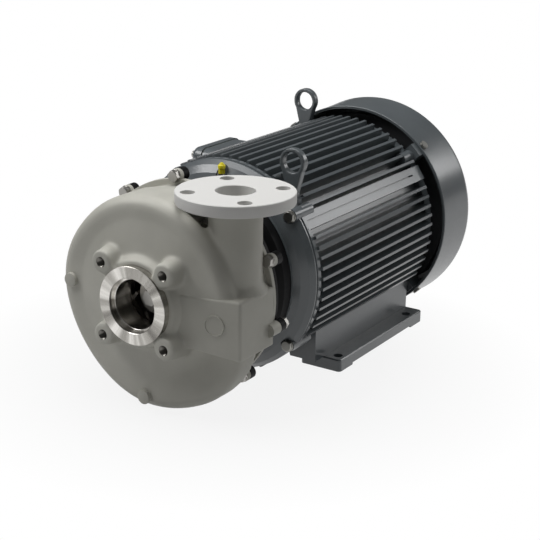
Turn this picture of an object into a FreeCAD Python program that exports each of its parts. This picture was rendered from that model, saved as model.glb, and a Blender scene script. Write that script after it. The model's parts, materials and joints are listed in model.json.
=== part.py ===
import FreeCAD
import Part
import math
import os

# Close-coupled end-suction centrifugal pump on a fan-cooled foot motor, in millimetres.
# The shaft lies along Y. The suction face is at y = 0 and looks to -Y, the motor is
# towards +Y, +X is the discharge side seen from the front, and +Z is up.

V = FreeCAD.Vector
ORIGIN = V(0, 0, 0)
ALONG_Y = V(0, 1, 0)

# Clearances between pieces
running_clearance = 0.05
seat_clearance = 0.1
loose_clearance = 0.3
blade_clearance = 1.5

# Shaft height and foot pattern of the motor
shaft_height = 158.75
foot_hole_spacing_x = 254.0
foot_hole_spacing_y = 209.55
foot_hole_radius = 6.75
face_to_foot_hole = 127.0
foot_overall_width = 279.0
foot_plate_width = 66.0
foot_plate_thickness = 18.0
foot_end_margin = 31.0
foot_front_margin = 15.6
foot_relief_depth = 3.0
foot_pad_length = 37.0

# Motor face with its spigot and tapped circle
motor_face_y = 182.0
face_outer_radius = 125.0
rabbet_radius = 107.95
rabbet_length = 6.35
face_bolt_circle_radius = 92.075
face_bolt_radius = 6.35

# Shaft steps
shaft_extension = 133.35
pump_shaft_radius = 15.875
sleeve_seat_end_y = 140.0
seal_shaft_radius = 22.0
shaft_collar_radius = 27.0
rotor_seat_radius = 30.0
rear_collar_radius = 22.5
fan_seat_radius = 15.0
shaft_rear_y = 626.0

# Bearings: bore radius, outer radius, width
drive_bearing_bore = 22.5
drive_bearing_outer = 50.0
drive_bearing_width = 25.0
drive_bearing_y = 186.0
rear_bearing_bore = 17.5
rear_bearing_outer = 40.0
rear_bearing_width = 21.0
rear_bearing_y = 541.0
bearing_race_share = 0.3
race_depth_share = 0.35

# Suction connection
suction_ring_radius = 52.4
suction_bore_radius = 33.0
suction_step_radius = 36.5
suction_step_depth = 8.0
suction_pcd = 139.7
lug_radius = 15.0
lug_face_y = 0.8
lug_hole_radius = 6.75
lug_hole_depth = 24.0
lug_web_width = 20.0

# Discharge connection
discharge_x = 102.5
discharge_y = 83.0
discharge_z = 150.0
discharge_flange_radius = 76.2
discharge_flange_thickness = 15.9
discharge_bore_radius = 25.4
discharge_pcd = 120.65
discharge_hole_radius = 9.5
discharge_hole_count = 4
neck_radius = 34.5
neck_sink = 43.0
neck_fillet = 5.0
throat_radius = 22.0

# Volute
front_wall_y = 30.0
hub_wall_y = 20.0
volute_back_y = 92.0
volute_start_radius = 126.0
volute_end_radius = 160.0
volute_tail = 22.0
volute_return = 36.0
shoulder_radius = 18.0
casing_wall = 9.0
cutwater_angle = 55.0
cutwater_spread = 45.0
cutwater_dip = 19.0
valley_angle = 61.0
valley_centre_radius = 130.0
valley_radius = 18.0
valley_front_y = 50.0
scroll_back_y = 84.0
cover_bore_radius = 100.0
cover_seat_radius = 108.0
gasket_thickness = 1.5
casing_back_y = 118.0
cover_flange_thickness = 10.0
barrel_radius = 134.0
casing_flange_radius = 142.0
casing_flange_thickness = 6.0

# Raised collar round the suction ring
collar_front_y = 10.0
collar_front_radius = 57.0
collar_back_radius = 65.0

# Cast block under the neck, with a slanted front and a slanted underside
block_left_x = 48.0
block_right_x = 143.0
block_front_left_y = 18.0
block_front_right_y = 36.0
block_back_y = 117.0
block_bottom_left_z = -46.0
block_bottom_z = -57.0
block_top_z = 23.0
block_edge_radius = 4.0
block_rear_inset = 6.0
block_rear_depth = 20.0
pad_radius = 14.0
pad_height = 0.8
pad_x = 108.0
pad_z = -12.0

# Cast bosses on the shoulder
boss_radius = 8.5
boss_front_y = 27.0
boss_back_y = 62.0
boss_places = [(-132.0, 2.6), (-10.6, -141.5)]

# Bolts that hold the casing to the adapter
casing_bolt_count = 10
casing_bolt_first = 22.7
casing_bolt_circle = 146.0
casing_ear_radius = 9.0
casing_bolt_radius = 4.75
casing_bolt_flats = 14.3
casing_bolt_head = 8.0
washer_thickness = 1.6
short_bolt_grip = 14.0
back_ear_depth = 20.0
adapter_ear_thickness = 12.0

# Impeller
impeller_radius = 98.0
impeller_outlet_y = 58.0
impeller_outlet_width = 13.0
shroud_thickness = 4.5
eye_radius = 33.5
eye_ring_radius = 39.0
eye_front_y = 41.0
impeller_hub_radius = 24.0
impeller_hub_front_y = 48.0
impeller_hub_back_y = 92.0
vane_count = 6
vane_thickness = 4.0
vane_wrap = 95.0
wear_ring_outer = 46.0
wear_ring_front_y = 39.0
wear_ring_back_y = 51.0
wear_ring_hub_radius = 56.0
impeller_washer_radius = 20.0
impeller_washer_thickness = 3.5
impeller_bolt_radius = 6.35
impeller_bolt_flats = 19.0
impeller_bolt_head = 9.0
impeller_bolt_length = 34.0
key_width = 6.35
key_length = 24.0

# Mechanical seal and its cover
cover_front_y = 88.0
seal_chamber_radius = 36.0
seal_head_y = 106.0
seal_seat_y = 120.0
seal_seat_thickness = 9.0
seal_seat_radius = 31.0
cover_tube_radius = 44.0
cover_back_y = 134.0
cover_lip_radius = 24.5
cover_web_thickness = 11.0
seal_head_radius = 30.0
spring_wire = 2.4
spring_turns = 2.5
spring_radius = 27.0
slinger_y = 147.0
slinger_radius = 38.0

# Adapter between cover and motor
adapter_bore_radius = 96.0
adapter_flange_radius = 137.5
adapter_barrel_front = 128.0
adapter_barrel_back = 116.0
adapter_wall = 11.0
adapter_rear_flange_y = 166.0
adapter_rear_bore_radius = 62.0
adapter_window_width = 64.0
adapter_window_length = 26.0
adapter_window_corner = 6.0
adapter_bolt_head = 9.0
adapter_bolt_flats = 19.05
adapter_bolt_length = 30.0

# Motor frame
frame_front_y = 212.0
frame_back_y = 550.0
frame_bore_radius = 120.0
frame_wall = 13.0
fin_tip_radius = 154.0
fin_count = 66
fin_root_width = 6.4
fin_tip_width = 4.2
fin_end_taper = 7.0
fin_first_angle = 2.0
rail_first_angle = 22.0
rail_last_angle = 55.0
front_ring_radius = 150.0
front_ring_width = 5.0
rear_ring_radius = 142.0
rear_ring_width = 8.0
corner_bar_width = 23.0
corner_bar_radius = 150.0
corner_bar_groove = 2.4
corner_bar_clear = 7.0
corner_bar_angles = [33.0, 147.0]
shield_bolt_angles = [39.0, 141.0, 219.0, 321.0]
rear_bolt_angles = [45.0, 135.0, 225.0, 315.0]
frame_lug_length = 28.0
rail_inner_x = 70.0
rail_outer_x = 112.0
rail_root_inner_x = 62.0
rail_root_inner_z = -108.0
rail_root_outer_x = 96.0
rail_root_outer_z = -84.0
rail_front_y = 270.0
shield_bolt_circle = 145.0
shield_bolt_radius = 4.75
shield_bolt_flats = 14.3
shield_bolt_head = 6.4
shield_lug_radius = 9.5
shield_lug_depth = 16.0
shield_bolt_length = 34.0
frame_bolt_depth = 24.0

# Stator and rotor
stator_bore_radius = 76.6
stator_end_space = 74.0
winding_overhang = 48.0
winding_outer_radius = 110.0
winding_inner_radius = 82.0
rotor_radius = 75.9
rotor_ring_outer = 72.0
rotor_ring_inner = 50.0
rotor_ring_length = 15.0

# Fan and cover
fan_cover_front_y = 561.0
fan_cover_back_y = 652.0
fan_cover_front_radius = 164.5
fan_cover_back_radius = 168.0
fan_cover_wall = 3.0
fan_cover_corner = 15.0
fan_cover_flat_depth = 12.0
fan_cover_screw_y = 571.0
grille_first_radius = 44.0
grille_ring_step = 19.0
grille_ring_count = 5
grille_slot_width = 9.0
grille_rib_count = 8
grille_rib_width = 9.0
fan_radius = 150.0
fan_hub_radius = 24.0
fan_front_y = 589.5
fan_disc_thickness = 4.0
fan_blade_depth = 40.0
fan_blade_count = 9
fan_blade_thickness = 3.6

# Terminal box on the left side of the frame
box_centre_y = 452.0
box_length_y = 108.0
box_bottom_z = -20.0
box_top_z = 102.0
box_inner_x = -141.0
box_body_depth = 38.0
box_wall = 5.0
box_corner_radius = 16.0
box_gasket_thickness = 1.5
box_cover_depth = 19.0
box_neck_radius = 36.0
box_neck_root_x = 90.0
box_screw_radius = 3.0
box_screw_inset = 12.0
conduit_radius = 10.6
conduit_collar_wall = 3.0
conduit_collar_height = 4.0
conduit_from_cover = 14.0

# Lifting eyes
eye_plate_thickness = 11.0
eye_outer_radius = 19.5
eye_hole_radius = 14.0
eye_base_radius = 9.0
eye_rise = 48.0
eye_foot_half_width = 7.0
eye_waist_angle = -35.0
eye_stud_radius = 6.0
eye_stud_length = 14.0
eye_boss_bottom_z = 84.0
eye_boss_margin = 3.0
front_eye_place = (96.0, 228.0, 108.0)
rear_eye_place = (-75.0, 537.0, 122.0)

# Grease nipple on the drive end shield
nipple_x = 6.0
nipple_y = 190.0
nipple_base_z = 128.0
nipple_base_radius = 6.0
nipple_base_height = 7.0
nipple_stem_radius = 3.2
nipple_stem_height = 13.0
grease_cap_radius = 5.2
grease_cap_height = 14.5

# Plug in the side of the casing barrel
plug_angle = 60.0
plug_y = 79.0
plug_radius = 4.5
plug_seat_radius = 112.5
plug_flats = 11.0
plug_head = 7.0


def cyl_y(radius, y0, y1, x=0.0, z=0.0):
    return Part.makeCylinder(radius, y1 - y0, V(x, y0, z), ALONG_Y)


def cyl_z(radius, z0, z1, x, y):
    return Part.makeCylinder(radius, z1 - z0, V(x, y, z0), V(0, 0, 1))


def cyl_x(radius, x0, x1, y, z):
    return Part.makeCylinder(radius, x1 - x0, V(x0, y, z), V(1, 0, 0))


def ring_y(outer, inner, y0, y1):
    return cyl_y(outer, y0, y1).cut(cyl_y(inner, y0 - 1, y1 + 1))


def box(x0, x1, y0, y1, z0, z1):
    return Part.makeBox(x1 - x0, y1 - y0, z1 - z0, V(x0, y0, z0))


def revolve_y(profile):
    # The profile is a closed list of (radius, y) corners.
    corners = [V(r, y, 0) for r, y in profile]
    wire = Part.makePolygon(corners + [corners[0]])
    return Part.Face(wire).revolve(ORIGIN, ALONG_Y, 360)


def prism_y(outline, y0, y1):
    # The outline is a closed list of (x, z) corners.
    corners = [V(x, y0, z) for x, z in outline]
    wire = Part.makePolygon(corners + [corners[0]])
    return Part.Face(wire).extrude(V(0, y1 - y0, 0))


def prism_z(outline, z0, z1):
    # The outline is a closed list of (x, y) corners.
    corners = [V(x, y, z0) for x, y in outline]
    wire = Part.makePolygon(corners + [corners[0]])
    return Part.Face(wire).extrude(V(0, 0, z1 - z0))


def rounded_corner(radius, y, corner, steps):
    # Points of a quarter round that starts on the radius and ends on the face at y.
    points = []
    for step in range(steps + 1):
        angle = math.pi / 2 * step / steps
        points.append((radius - corner + corner * math.cos(angle), y - corner + corner * math.sin(angle)))
    return points


def arc_from(start, heading, end):
    # One arc across XZ that leaves start along heading and reaches end.
    chord = end - start
    left = V(-chord.z, 0, chord.x)
    turn = math.atan2(chord.x * heading.z - chord.z * heading.x, chord.dot(heading))
    if abs(turn) < 1e-5:
        return Part.makeLine(start, end)
    middle = (start + end) * 0.5 + left * (math.tan(turn / 2) / 2)
    return Part.Arc(start, middle, end).toShape()


def arc_pair(start, out, end, into):
    # Two tangent arcs that leave start along out and reach end along into.
    span = end - start
    spread = 2 * (1 - out.dot(into))
    along = span.dot(out + into)
    if spread < 1e-9:
        reach = span.dot(span) / (2 * along)
    else:
        reach = (math.sqrt(along ** 2 + spread * span.dot(span)) - along) / spread
    first = start + out * reach
    second = end - into * reach
    joint = (first + second) * 0.5
    heading = second - first
    heading.normalize()
    return [arc_from(start, out, joint), arc_from(joint, heading, end)]


def turned(shape, degrees):
    # Turns a shape about the shaft, from +X towards +Z.
    return shape.rotated(ORIGIN, V(0, -1, 0), degrees)


def polar(radius, degrees):
    angle = math.radians(degrees)
    return radius * math.cos(angle), radius * math.sin(angle)


def fused(shapes):
    return shapes[0].multiFuse(shapes[1:]).removeSplitter()


def hex_prism(flats, y0, y1, x, z):
    corner = flats / math.sqrt(3)
    outline = []
    for side in range(6):
        dx, dz = polar(corner, 60 * side)
        outline.append((x + dx, z + dz))
    return prism_y(outline, y0, y1)


def hex_bolt_y(flats, head, radius, length, x, z, seat_y, towards):
    # Head, washer face and shank. Towards is +1 when the shank points to +Y, and -1 when it points to -Y.
    washer = flats * 0.6
    hexagon = hex_prism(flats, washer_thickness, head, 0, 0)
    face = cyl_y(washer, 0, washer_thickness)
    shank = cyl_y(radius, -length, washer_thickness)
    bolt = fused([hexagon, face, shank])
    if towards > 0:
        bolt = bolt.rotated(ORIGIN, V(0, 0, 1), 180)
    return bolt.translated(V(x, seat_y, z))


def edges_at_y(shape, y):
    return [e for e in shape.Edges if abs(e.BoundBox.YMin - y) < 0.01 and abs(e.BoundBox.YMax - y) < 0.01]


def compound(shapes):
    return Part.makeCompound(shapes)


# Places worked out from the sizes above
floor_z = -shaft_height
volute_wrap = 360.0 - volute_tail
front_foot_hole_y = motor_face_y + face_to_foot_hole
rear_foot_hole_y = front_foot_hole_y + foot_hole_spacing_y
foot_front_y = front_foot_hole_y - foot_front_margin
foot_back_y = rear_foot_hole_y + foot_end_margin
foot_top_z = floor_z + foot_plate_thickness
shaft_front_y = motor_face_y - shaft_extension
cover_seat_y = casing_back_y - cover_flange_thickness
casing_ear_front_y = casing_back_y - casing_flange_thickness
adapter_ear_back_y = casing_back_y + adapter_ear_thickness
impeller_back_y = impeller_outlet_y + impeller_outlet_width + shroud_thickness
frame_outer_radius = frame_bore_radius + frame_wall
stator_front_y = frame_front_y + stator_end_space
stator_back_y = frame_back_y - stator_end_space
flange_bottom_z = discharge_z - discharge_flange_thickness
shield_bolt_seat_y = frame_front_y - shield_lug_depth
fan_cover_bottom_z = fan_cover_flat_depth - fan_cover_back_radius
box_front_y = box_centre_y - box_length_y / 2
box_back_y = box_centre_y + box_length_y / 2
box_outer_x = box_inner_x - box_body_depth
box_middle_z = (box_bottom_z + box_top_z) / 2


def casing_bolt_angles():
    return [casing_bolt_first + 360.0 / casing_bolt_count * i for i in range(casing_bolt_count)]


def enters_from_back(degrees):
    # The neck and the cast block leave no room in front of two ears, so those bolts enter from the back.
    x, z = polar(casing_bolt_circle, degrees)
    in_neck = z > 0 and abs(x - discharge_x) < neck_radius - 3
    in_block = x > 0 and block_bottom_z < z < block_top_z
    return in_neck or in_block


def spiral_radius(degrees, start, end):
    # Grows evenly round the wrap, then returns smoothly to the start under the neck.
    growth = (end - start) / volute_wrap
    degrees = degrees % 360
    if degrees > volute_wrap or degrees < volute_return - volute_tail:
        share = ((degrees - volute_wrap) % 360) / volute_return
        blend = 0.5 - 0.5 * math.cos(math.pi * share)
        landing = start + growth * (volute_return - volute_tail)
        return end + (landing - end) * blend
    return start + growth * degrees


def scroll_radius(degrees):
    # The flow space follows the outer wall, and dips in at the cutwater beside the neck.
    radius = spiral_radius(degrees, volute_start_radius, volute_end_radius) - casing_wall
    away = abs(degrees - cutwater_angle)
    if away < cutwater_spread:
        radius -= cutwater_dip * (0.5 + 0.5 * math.cos(math.pi * away / cutwater_spread))
    return radius


def casing_radius(degrees):
    return spiral_radius(degrees, volute_start_radius, volute_end_radius)


def spiral_angles(fine_end, fine_steps, wide_steps):
    # Angles round the casing, close together where its radius changes fast.
    start = volute_wrap - 360
    angles = [start + (fine_end - start) * i / fine_steps for i in range(fine_steps)]
    return angles + [fine_end + (start + 360 - fine_end) * i / wide_steps for i in range(wide_steps)]


def spiral_prism(radius_at, angles, y0, y1):
    # A closed outline of tangent arcs through the spiral's points, pulled along the shaft.
    points = []
    headings = []
    for angle in angles:
        near, far, here = [
            V(x, y0, z) for x, z in (polar(radius_at(a % 360), a) for a in (angle - 0.5, angle + 0.5, angle))
        ]
        heading = far - near
        heading.normalize()
        points.append(here)
        headings.append(heading)
    edges = []
    for index in range(len(points)):
        after = (index + 1) % len(points)
        edges += arc_pair(points[index], headings[index], points[after], headings[after])
    face = Part.Face(Part.Wire(edges))
    return face.extrude(V(0, y1 - y0, 0))


def discharge_passage(radius_change, end_z):
    # Round sections that lead from the scroll up to the straight bore of the neck.
    scroll_middle_y = (front_wall_y + casing_wall + scroll_back_y) / 2
    sections = [
        (discharge_x + 14, scroll_middle_y, -38.0, throat_radius - 4),
        (discharge_x + 8, scroll_middle_y + 4, 8.0, throat_radius),
        (discharge_x, discharge_y, 76.0, discharge_bore_radius),
        (discharge_x, discharge_y, end_z, discharge_bore_radius),
    ]
    wires = []
    for x, y, z, radius in sections:
        circle = Part.makeCircle(radius + radius_change, V(x, y, z), V(0, 0, 1))
        wires.append(Part.Wire(circle))
    lower = Part.makeLoft(wires[:3], True, False)
    upper = Part.makeLoft(wires[2:], True, True)
    return lower, upper


def casing_outer():
    angles = spiral_angles(volute_return - volute_tail, 3, 12)
    body = spiral_prism(casing_radius, angles, front_wall_y, volute_back_y)
    body = body.makeFillet(shoulder_radius, edges_at_y(body, front_wall_y))
    dome = revolve_y([
        (0, hub_wall_y), (46, hub_wall_y), (62, hub_wall_y + 1.5),
        (volute_start_radius - shoulder_radius + 3, front_wall_y + 0.6),
        (volute_start_radius - shoulder_radius + 3, front_wall_y + 12), (0, front_wall_y + 12),
    ])
    barrel = cyl_y(barrel_radius, volute_back_y - 8, casing_back_y)
    flange = cyl_y(casing_flange_radius, casing_ear_front_y, casing_back_y)
    pieces = [body, dome, barrel, flange]
    for angle in casing_bolt_angles():
        x, z = polar(casing_bolt_circle, angle)
        pieces.append(cyl_y(casing_ear_radius, casing_ear_front_y, casing_back_y, x, z))
    return pieces


def suction_connection():
    ring = revolve_y([
        (0, 0), (suction_ring_radius - 0.8, 0), (suction_ring_radius, 0.8),
        (suction_ring_radius, 13), (suction_ring_radius + 4, hub_wall_y + 2), (0, hub_wall_y + 2),
    ])
    collar = Part.makeCone(
        collar_front_radius, collar_back_radius, front_wall_y - collar_front_y - 4,
        V(0, collar_front_y, 0), ALONG_Y
    )
    pieces = [ring, collar]
    for index in range(4):
        angle = 45 + 90 * index
        x, z = polar(suction_pcd / 2, angle)
        pieces.append(cyl_y(lug_radius, lug_face_y, front_wall_y + 6, x, z))
        web = box(30, suction_pcd / 2, lug_face_y + 1.6, front_wall_y + 4, -lug_web_width / 2, lug_web_width / 2)
        pieces.append(turned(web, angle))
    return pieces


def cast_block():
    # The block's front runs back towards +X and its underside falls towards +X.
    front_view = prism_y([
        (block_left_x, block_bottom_left_z), (block_right_x, block_bottom_z),
        (block_right_x, block_top_z), (block_left_x, block_top_z),
    ], 0, block_back_y)
    top_view = prism_z([
        (block_left_x, block_front_left_y), (block_right_x, block_front_right_y),
        (block_right_x, block_back_y), (block_left_x, block_back_y),
    ], block_bottom_z - 1, block_top_z + 1)
    block = front_view.common(top_view)
    return block.makeFillet(block_edge_radius, block.Edges)


def emblem_pad():
    # A bare round pad that stands square on the block's slanted front.
    run_x = block_right_x - block_left_x
    run_y = block_front_right_y - block_front_left_y
    face_y = block_front_left_y + run_y * (pad_x - block_left_x) / run_x
    outward = V(run_y, -run_x, 0)
    outward.normalize()
    return Part.makeCylinder(pad_radius, pad_height + 1, V(pad_x, face_y, pad_z) - outward, outward)


def discharge_connection():
    neck = cyl_z(neck_radius, block_top_z - neck_sink, discharge_z, discharge_x, discharge_y)
    flange = cyl_z(discharge_flange_radius, flange_bottom_z, discharge_z, discharge_x, discharge_y)
    root = Part.makeCone(
        neck_radius, neck_radius + neck_fillet, neck_fillet,
        V(discharge_x, discharge_y, flange_bottom_z - neck_fillet)
    )
    rear = box(
        block_left_x, block_right_x - block_rear_inset, block_back_y - block_rear_depth, casing_back_y,
        block_bottom_z + block_rear_inset, block_top_z
    )
    return [neck, flange, root, cast_block(), rear, emblem_pad()]


def volute_casing():
    body = fused(casing_outer())
    x, z = polar(valley_centre_radius, valley_angle)
    body = body.cut(cyl_y(valley_radius, valley_front_y, casing_ear_front_y, x, z))
    pieces = [body] + suction_connection() + discharge_connection()
    for x, z in boss_places:
        pieces.append(cyl_y(boss_radius, boss_front_y, boss_back_y, x, z))
    for angle in casing_bolt_angles():
        x, z = polar(casing_bolt_circle, angle)
        if enters_from_back(angle):
            pieces.append(cyl_y(casing_ear_radius, casing_back_y - back_ear_depth, casing_back_y, x, z))
    casing = fused(pieces)

    angles = spiral_angles(cutwater_angle + cutwater_spread, 9, 9)
    scroll = spiral_prism(scroll_radius, angles, front_wall_y + casing_wall, scroll_back_y)
    hub = cyl_y(wear_ring_hub_radius, front_wall_y, wear_ring_back_y)
    scroll = scroll.cut(hub)
    lower, upper = discharge_passage(0, discharge_z + 1)
    tools = [
        scroll,
        lower,
        upper,
        cyl_y(cover_bore_radius, scroll_back_y - 1, casing_back_y),
        cyl_y(cover_seat_radius, cover_seat_y - gasket_thickness, casing_back_y + 1),
        cyl_y(suction_bore_radius, -1, wear_ring_front_y + 1),
        cyl_y(suction_step_radius, -1, suction_step_depth),
        cyl_y(wear_ring_outer, wear_ring_front_y, wear_ring_back_y + 1),
        turned(cyl_x(plug_radius, cover_bore_radius - 4, barrel_radius, plug_y, 0), plug_angle),
        turned(cyl_x(plug_flats * 0.62, plug_seat_radius, barrel_radius + 4, plug_y, 0), plug_angle),
    ]
    for index in range(4):
        x, z = polar(suction_pcd / 2, 45 + 90 * index)
        tools.append(cyl_y(lug_hole_radius, -1, lug_face_y + lug_hole_depth, x, z))
    for index in range(discharge_hole_count):
        dx, dy = polar(discharge_pcd / 2, 45 + 360.0 / discharge_hole_count * index)
        tools.append(cyl_z(
            discharge_hole_radius, flange_bottom_z - 1, discharge_z + 1, discharge_x + dx, discharge_y + dy
        ))
    for angle in casing_bolt_angles():
        x, z = polar(casing_bolt_circle, angle)
        if enters_from_back(angle):
            tools.append(cyl_y(casing_bolt_radius, casing_back_y - short_bolt_grip, casing_back_y + 1, x, z))
        else:
            tools.append(cyl_y(casing_bolt_radius, casing_ear_front_y - 1, casing_back_y + 1, x, z))
            tools.append(cyl_y(casing_ear_radius, volute_back_y, casing_ear_front_y, x, z))
    return casing.cut(tools)


def casing_wear_ring():
    return ring_y(
        wear_ring_outer, eye_ring_radius + loose_clearance, wear_ring_front_y, wear_ring_back_y
    )


def casing_gasket():
    return ring_y(
        cover_seat_radius - seat_clearance, cover_bore_radius + seat_clearance,
        cover_seat_y - gasket_thickness, cover_seat_y
    )


def casing_vent_plug():
    seat = plug_seat_radius
    body = cyl_x(plug_radius, cover_bore_radius + 5, seat + 1, plug_y, 0)
    corner = plug_flats / math.sqrt(3)
    corners = []
    for side in range(6):
        dy, dz = polar(corner, 60 * side)
        corners.append(V(seat, plug_y + dy, dz))
    head = Part.Face(Part.makePolygon(corners + [corners[0]])).extrude(V(plug_head, 0, 0))
    return turned(body.fuse(head), plug_angle)


def casing_bolts():
    bolts = []
    for angle in casing_bolt_angles():
        x, z = polar(casing_bolt_circle, angle)
        if enters_from_back(angle):
            seat, towards = adapter_ear_back_y, -1
            grip = adapter_ear_thickness + short_bolt_grip
        else:
            seat, towards = casing_ear_front_y, 1
            grip = adapter_ear_thickness + casing_flange_thickness
        bolts.append(hex_bolt_y(
            casing_bolt_flats, casing_bolt_head, casing_bolt_radius, grip, x, z, seat, towards
        ))
    return compound(bolts)


def impeller():
    # Closed impeller: back shroud with hub, swept front shroud and backward curved vanes.
    back_y = impeller_back_y
    outlet_back_y = impeller_outlet_y + impeller_outlet_width
    back = revolve_y([
        (pump_shaft_radius, impeller_hub_front_y), (impeller_hub_radius, impeller_hub_front_y),
        (impeller_hub_radius + 4, outlet_back_y - 5), (impeller_hub_radius + 16, outlet_back_y),
        (impeller_radius, outlet_back_y), (impeller_radius, back_y),
        (impeller_hub_radius + 8, back_y), (impeller_hub_radius + 6, impeller_hub_back_y),
        (pump_shaft_radius, impeller_hub_back_y),
    ])
    front = revolve_y([
        (eye_radius, eye_front_y), (eye_ring_radius, eye_front_y),
        (eye_ring_radius, wear_ring_back_y + 0.8),
        (impeller_radius, impeller_outlet_y - shroud_thickness), (impeller_radius, impeller_outlet_y),
        (eye_ring_radius + 12, impeller_outlet_y - 1), (eye_radius + 4, impeller_outlet_y - 5),
    ])
    vanes = [turned(impeller_vane(), 360.0 / vane_count * i) for i in range(vane_count)]
    wheel = fused([back, front] + vanes)
    key_slot = box(
        -key_width / 2, key_width / 2, impeller_hub_front_y + 4, impeller_hub_back_y + 1,
        0, pump_shaft_radius + key_width / 2
    )
    return wheel.cut([cyl_y(pump_shaft_radius, 0, impeller_hub_back_y + 1), key_slot])


def vane_point(share):
    radius = eye_radius - 6 + (impeller_radius - eye_radius + 6) * share
    return polar(radius, vane_wrap * share ** 0.8)


def impeller_vane():
    # One vane: a strip of even thickness along a spiral from the eye to the rim, trimmed to the flow space.
    left = []
    right = []
    headings = []
    for share in (0.0, 0.12, 0.35, 0.65, 1.0):
        x, z = vane_point(share)
        before = vane_point(max(share - 0.01, 0.0))
        after = vane_point(min(share + 0.01, 1.0))
        heading = V(after[0] - before[0], 0, after[1] - before[1])
        heading.normalize()
        side = V(-heading.z, 0, heading.x) * (vane_thickness / 2)
        headings.append(heading)
        left.append(V(x, 0, z) + side)
        right.append(V(x, 0, z) - side)
    edges = [Part.makeLine(left[-1], right[-1]), Part.makeLine(right[0], left[0])]
    for points in (left, right):
        for index in range(len(points) - 1):
            edges += arc_pair(points[index], headings[index], points[index + 1], headings[index + 1])
    strip = Part.Face(Part.Wire(Part.__sortEdges__(edges))).extrude(V(0, 60, 0))
    flow = revolve_y([
        (impeller_hub_radius - 4, eye_front_y + 5), (eye_radius + 1, eye_front_y + 5),
        (eye_radius + 5, impeller_outlet_y - 6), (impeller_radius, impeller_outlet_y - 1),
        (impeller_radius, impeller_outlet_y + impeller_outlet_width + 1),
        (impeller_hub_radius - 4, impeller_outlet_y + impeller_outlet_width + 1),
    ])
    return strip.translated(V(0, 30, 0)).common(flow)


def impeller_washer():
    front = impeller_hub_front_y - impeller_washer_thickness
    return ring_y(impeller_washer_radius, impeller_bolt_radius, front, impeller_hub_front_y)


def impeller_bolt():
    seat = impeller_hub_front_y - impeller_washer_thickness
    return hex_bolt_y(
        impeller_bolt_flats, impeller_bolt_head, impeller_bolt_radius, impeller_bolt_length, 0, 0, seat, 1
    )


def impeller_key():
    return box(
        -key_width / 2, key_width / 2, impeller_hub_front_y + 5, impeller_hub_front_y + 5 + key_length,
        pump_shaft_radius - key_width / 2, pump_shaft_radius + key_width / 2 - seat_clearance
    )


def shaft_sleeve():
    return ring_y(seal_shaft_radius, pump_shaft_radius, impeller_hub_back_y, sleeve_seat_end_y)


def seal_rotating_head():
    return revolve_y([
        (seal_shaft_radius, seal_head_y), (seal_head_radius, seal_head_y),
        (seal_head_radius, seal_seat_y - 5), (seal_head_radius - 2, seal_seat_y - 5),
        (seal_head_radius - 2, seal_seat_y - 0.05), (seal_shaft_radius + 2, seal_seat_y - 0.05),
        (seal_shaft_radius + 2, seal_seat_y - 4), (seal_shaft_radius, seal_seat_y - 4),
    ])


def seal_spring():
    # Square wire wound between the impeller hub and the rotating head.
    front = impeller_hub_back_y + spring_wire / 2 + seat_clearance
    height = seal_head_y - spring_wire / 2 - seat_clearance - front
    helix = Part.makeHelix(height / spring_turns, height, spring_radius)
    half = spring_wire / 2
    corners = [V(spring_radius - half, 0, -half), V(spring_radius + half, 0, -half),
               V(spring_radius + half, 0, half), V(spring_radius - half, 0, half)]
    section = Part.makePolygon(corners + [corners[0]])
    coil = Part.Wire(helix).makePipeShell([section], True, True)
    return coil.rotated(ORIGIN, V(1, 0, 0), -90).translated(V(0, front, 0))


def seal_seat():
    return ring_y(seal_seat_radius, seal_shaft_radius + 1.5, seal_seat_y, seal_seat_y + seal_seat_thickness)


def seal_cover():
    seat_end = seal_seat_y + seal_seat_thickness
    return revolve_y([
        (seal_chamber_radius, cover_front_y), (cover_bore_radius - seat_clearance, cover_front_y),
        (cover_bore_radius - seat_clearance, cover_seat_y), (cover_seat_radius - seat_clearance, cover_seat_y),
        (cover_seat_radius - seat_clearance, casing_back_y), (adapter_bore_radius - 4, casing_back_y),
        (adapter_bore_radius - 8, cover_front_y + cover_web_thickness + 3),
        (cover_tube_radius + 10, cover_front_y + cover_web_thickness),
        (cover_tube_radius, cover_front_y + cover_web_thickness + 10), (cover_tube_radius, cover_back_y),
        (cover_lip_radius, cover_back_y), (cover_lip_radius, seat_end), (seal_seat_radius, seat_end),
        (seal_seat_radius, seal_seat_y), (seal_chamber_radius, seal_seat_y - 3),
    ])


def water_slinger():
    return revolve_y([
        (seal_shaft_radius, slinger_y), (seal_shaft_radius + 7, slinger_y),
        (slinger_radius, slinger_y + 2), (slinger_radius, slinger_y + 4.5),
        (seal_shaft_radius + 7, slinger_y + 8), (seal_shaft_radius, slinger_y + 8),
    ])


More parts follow.
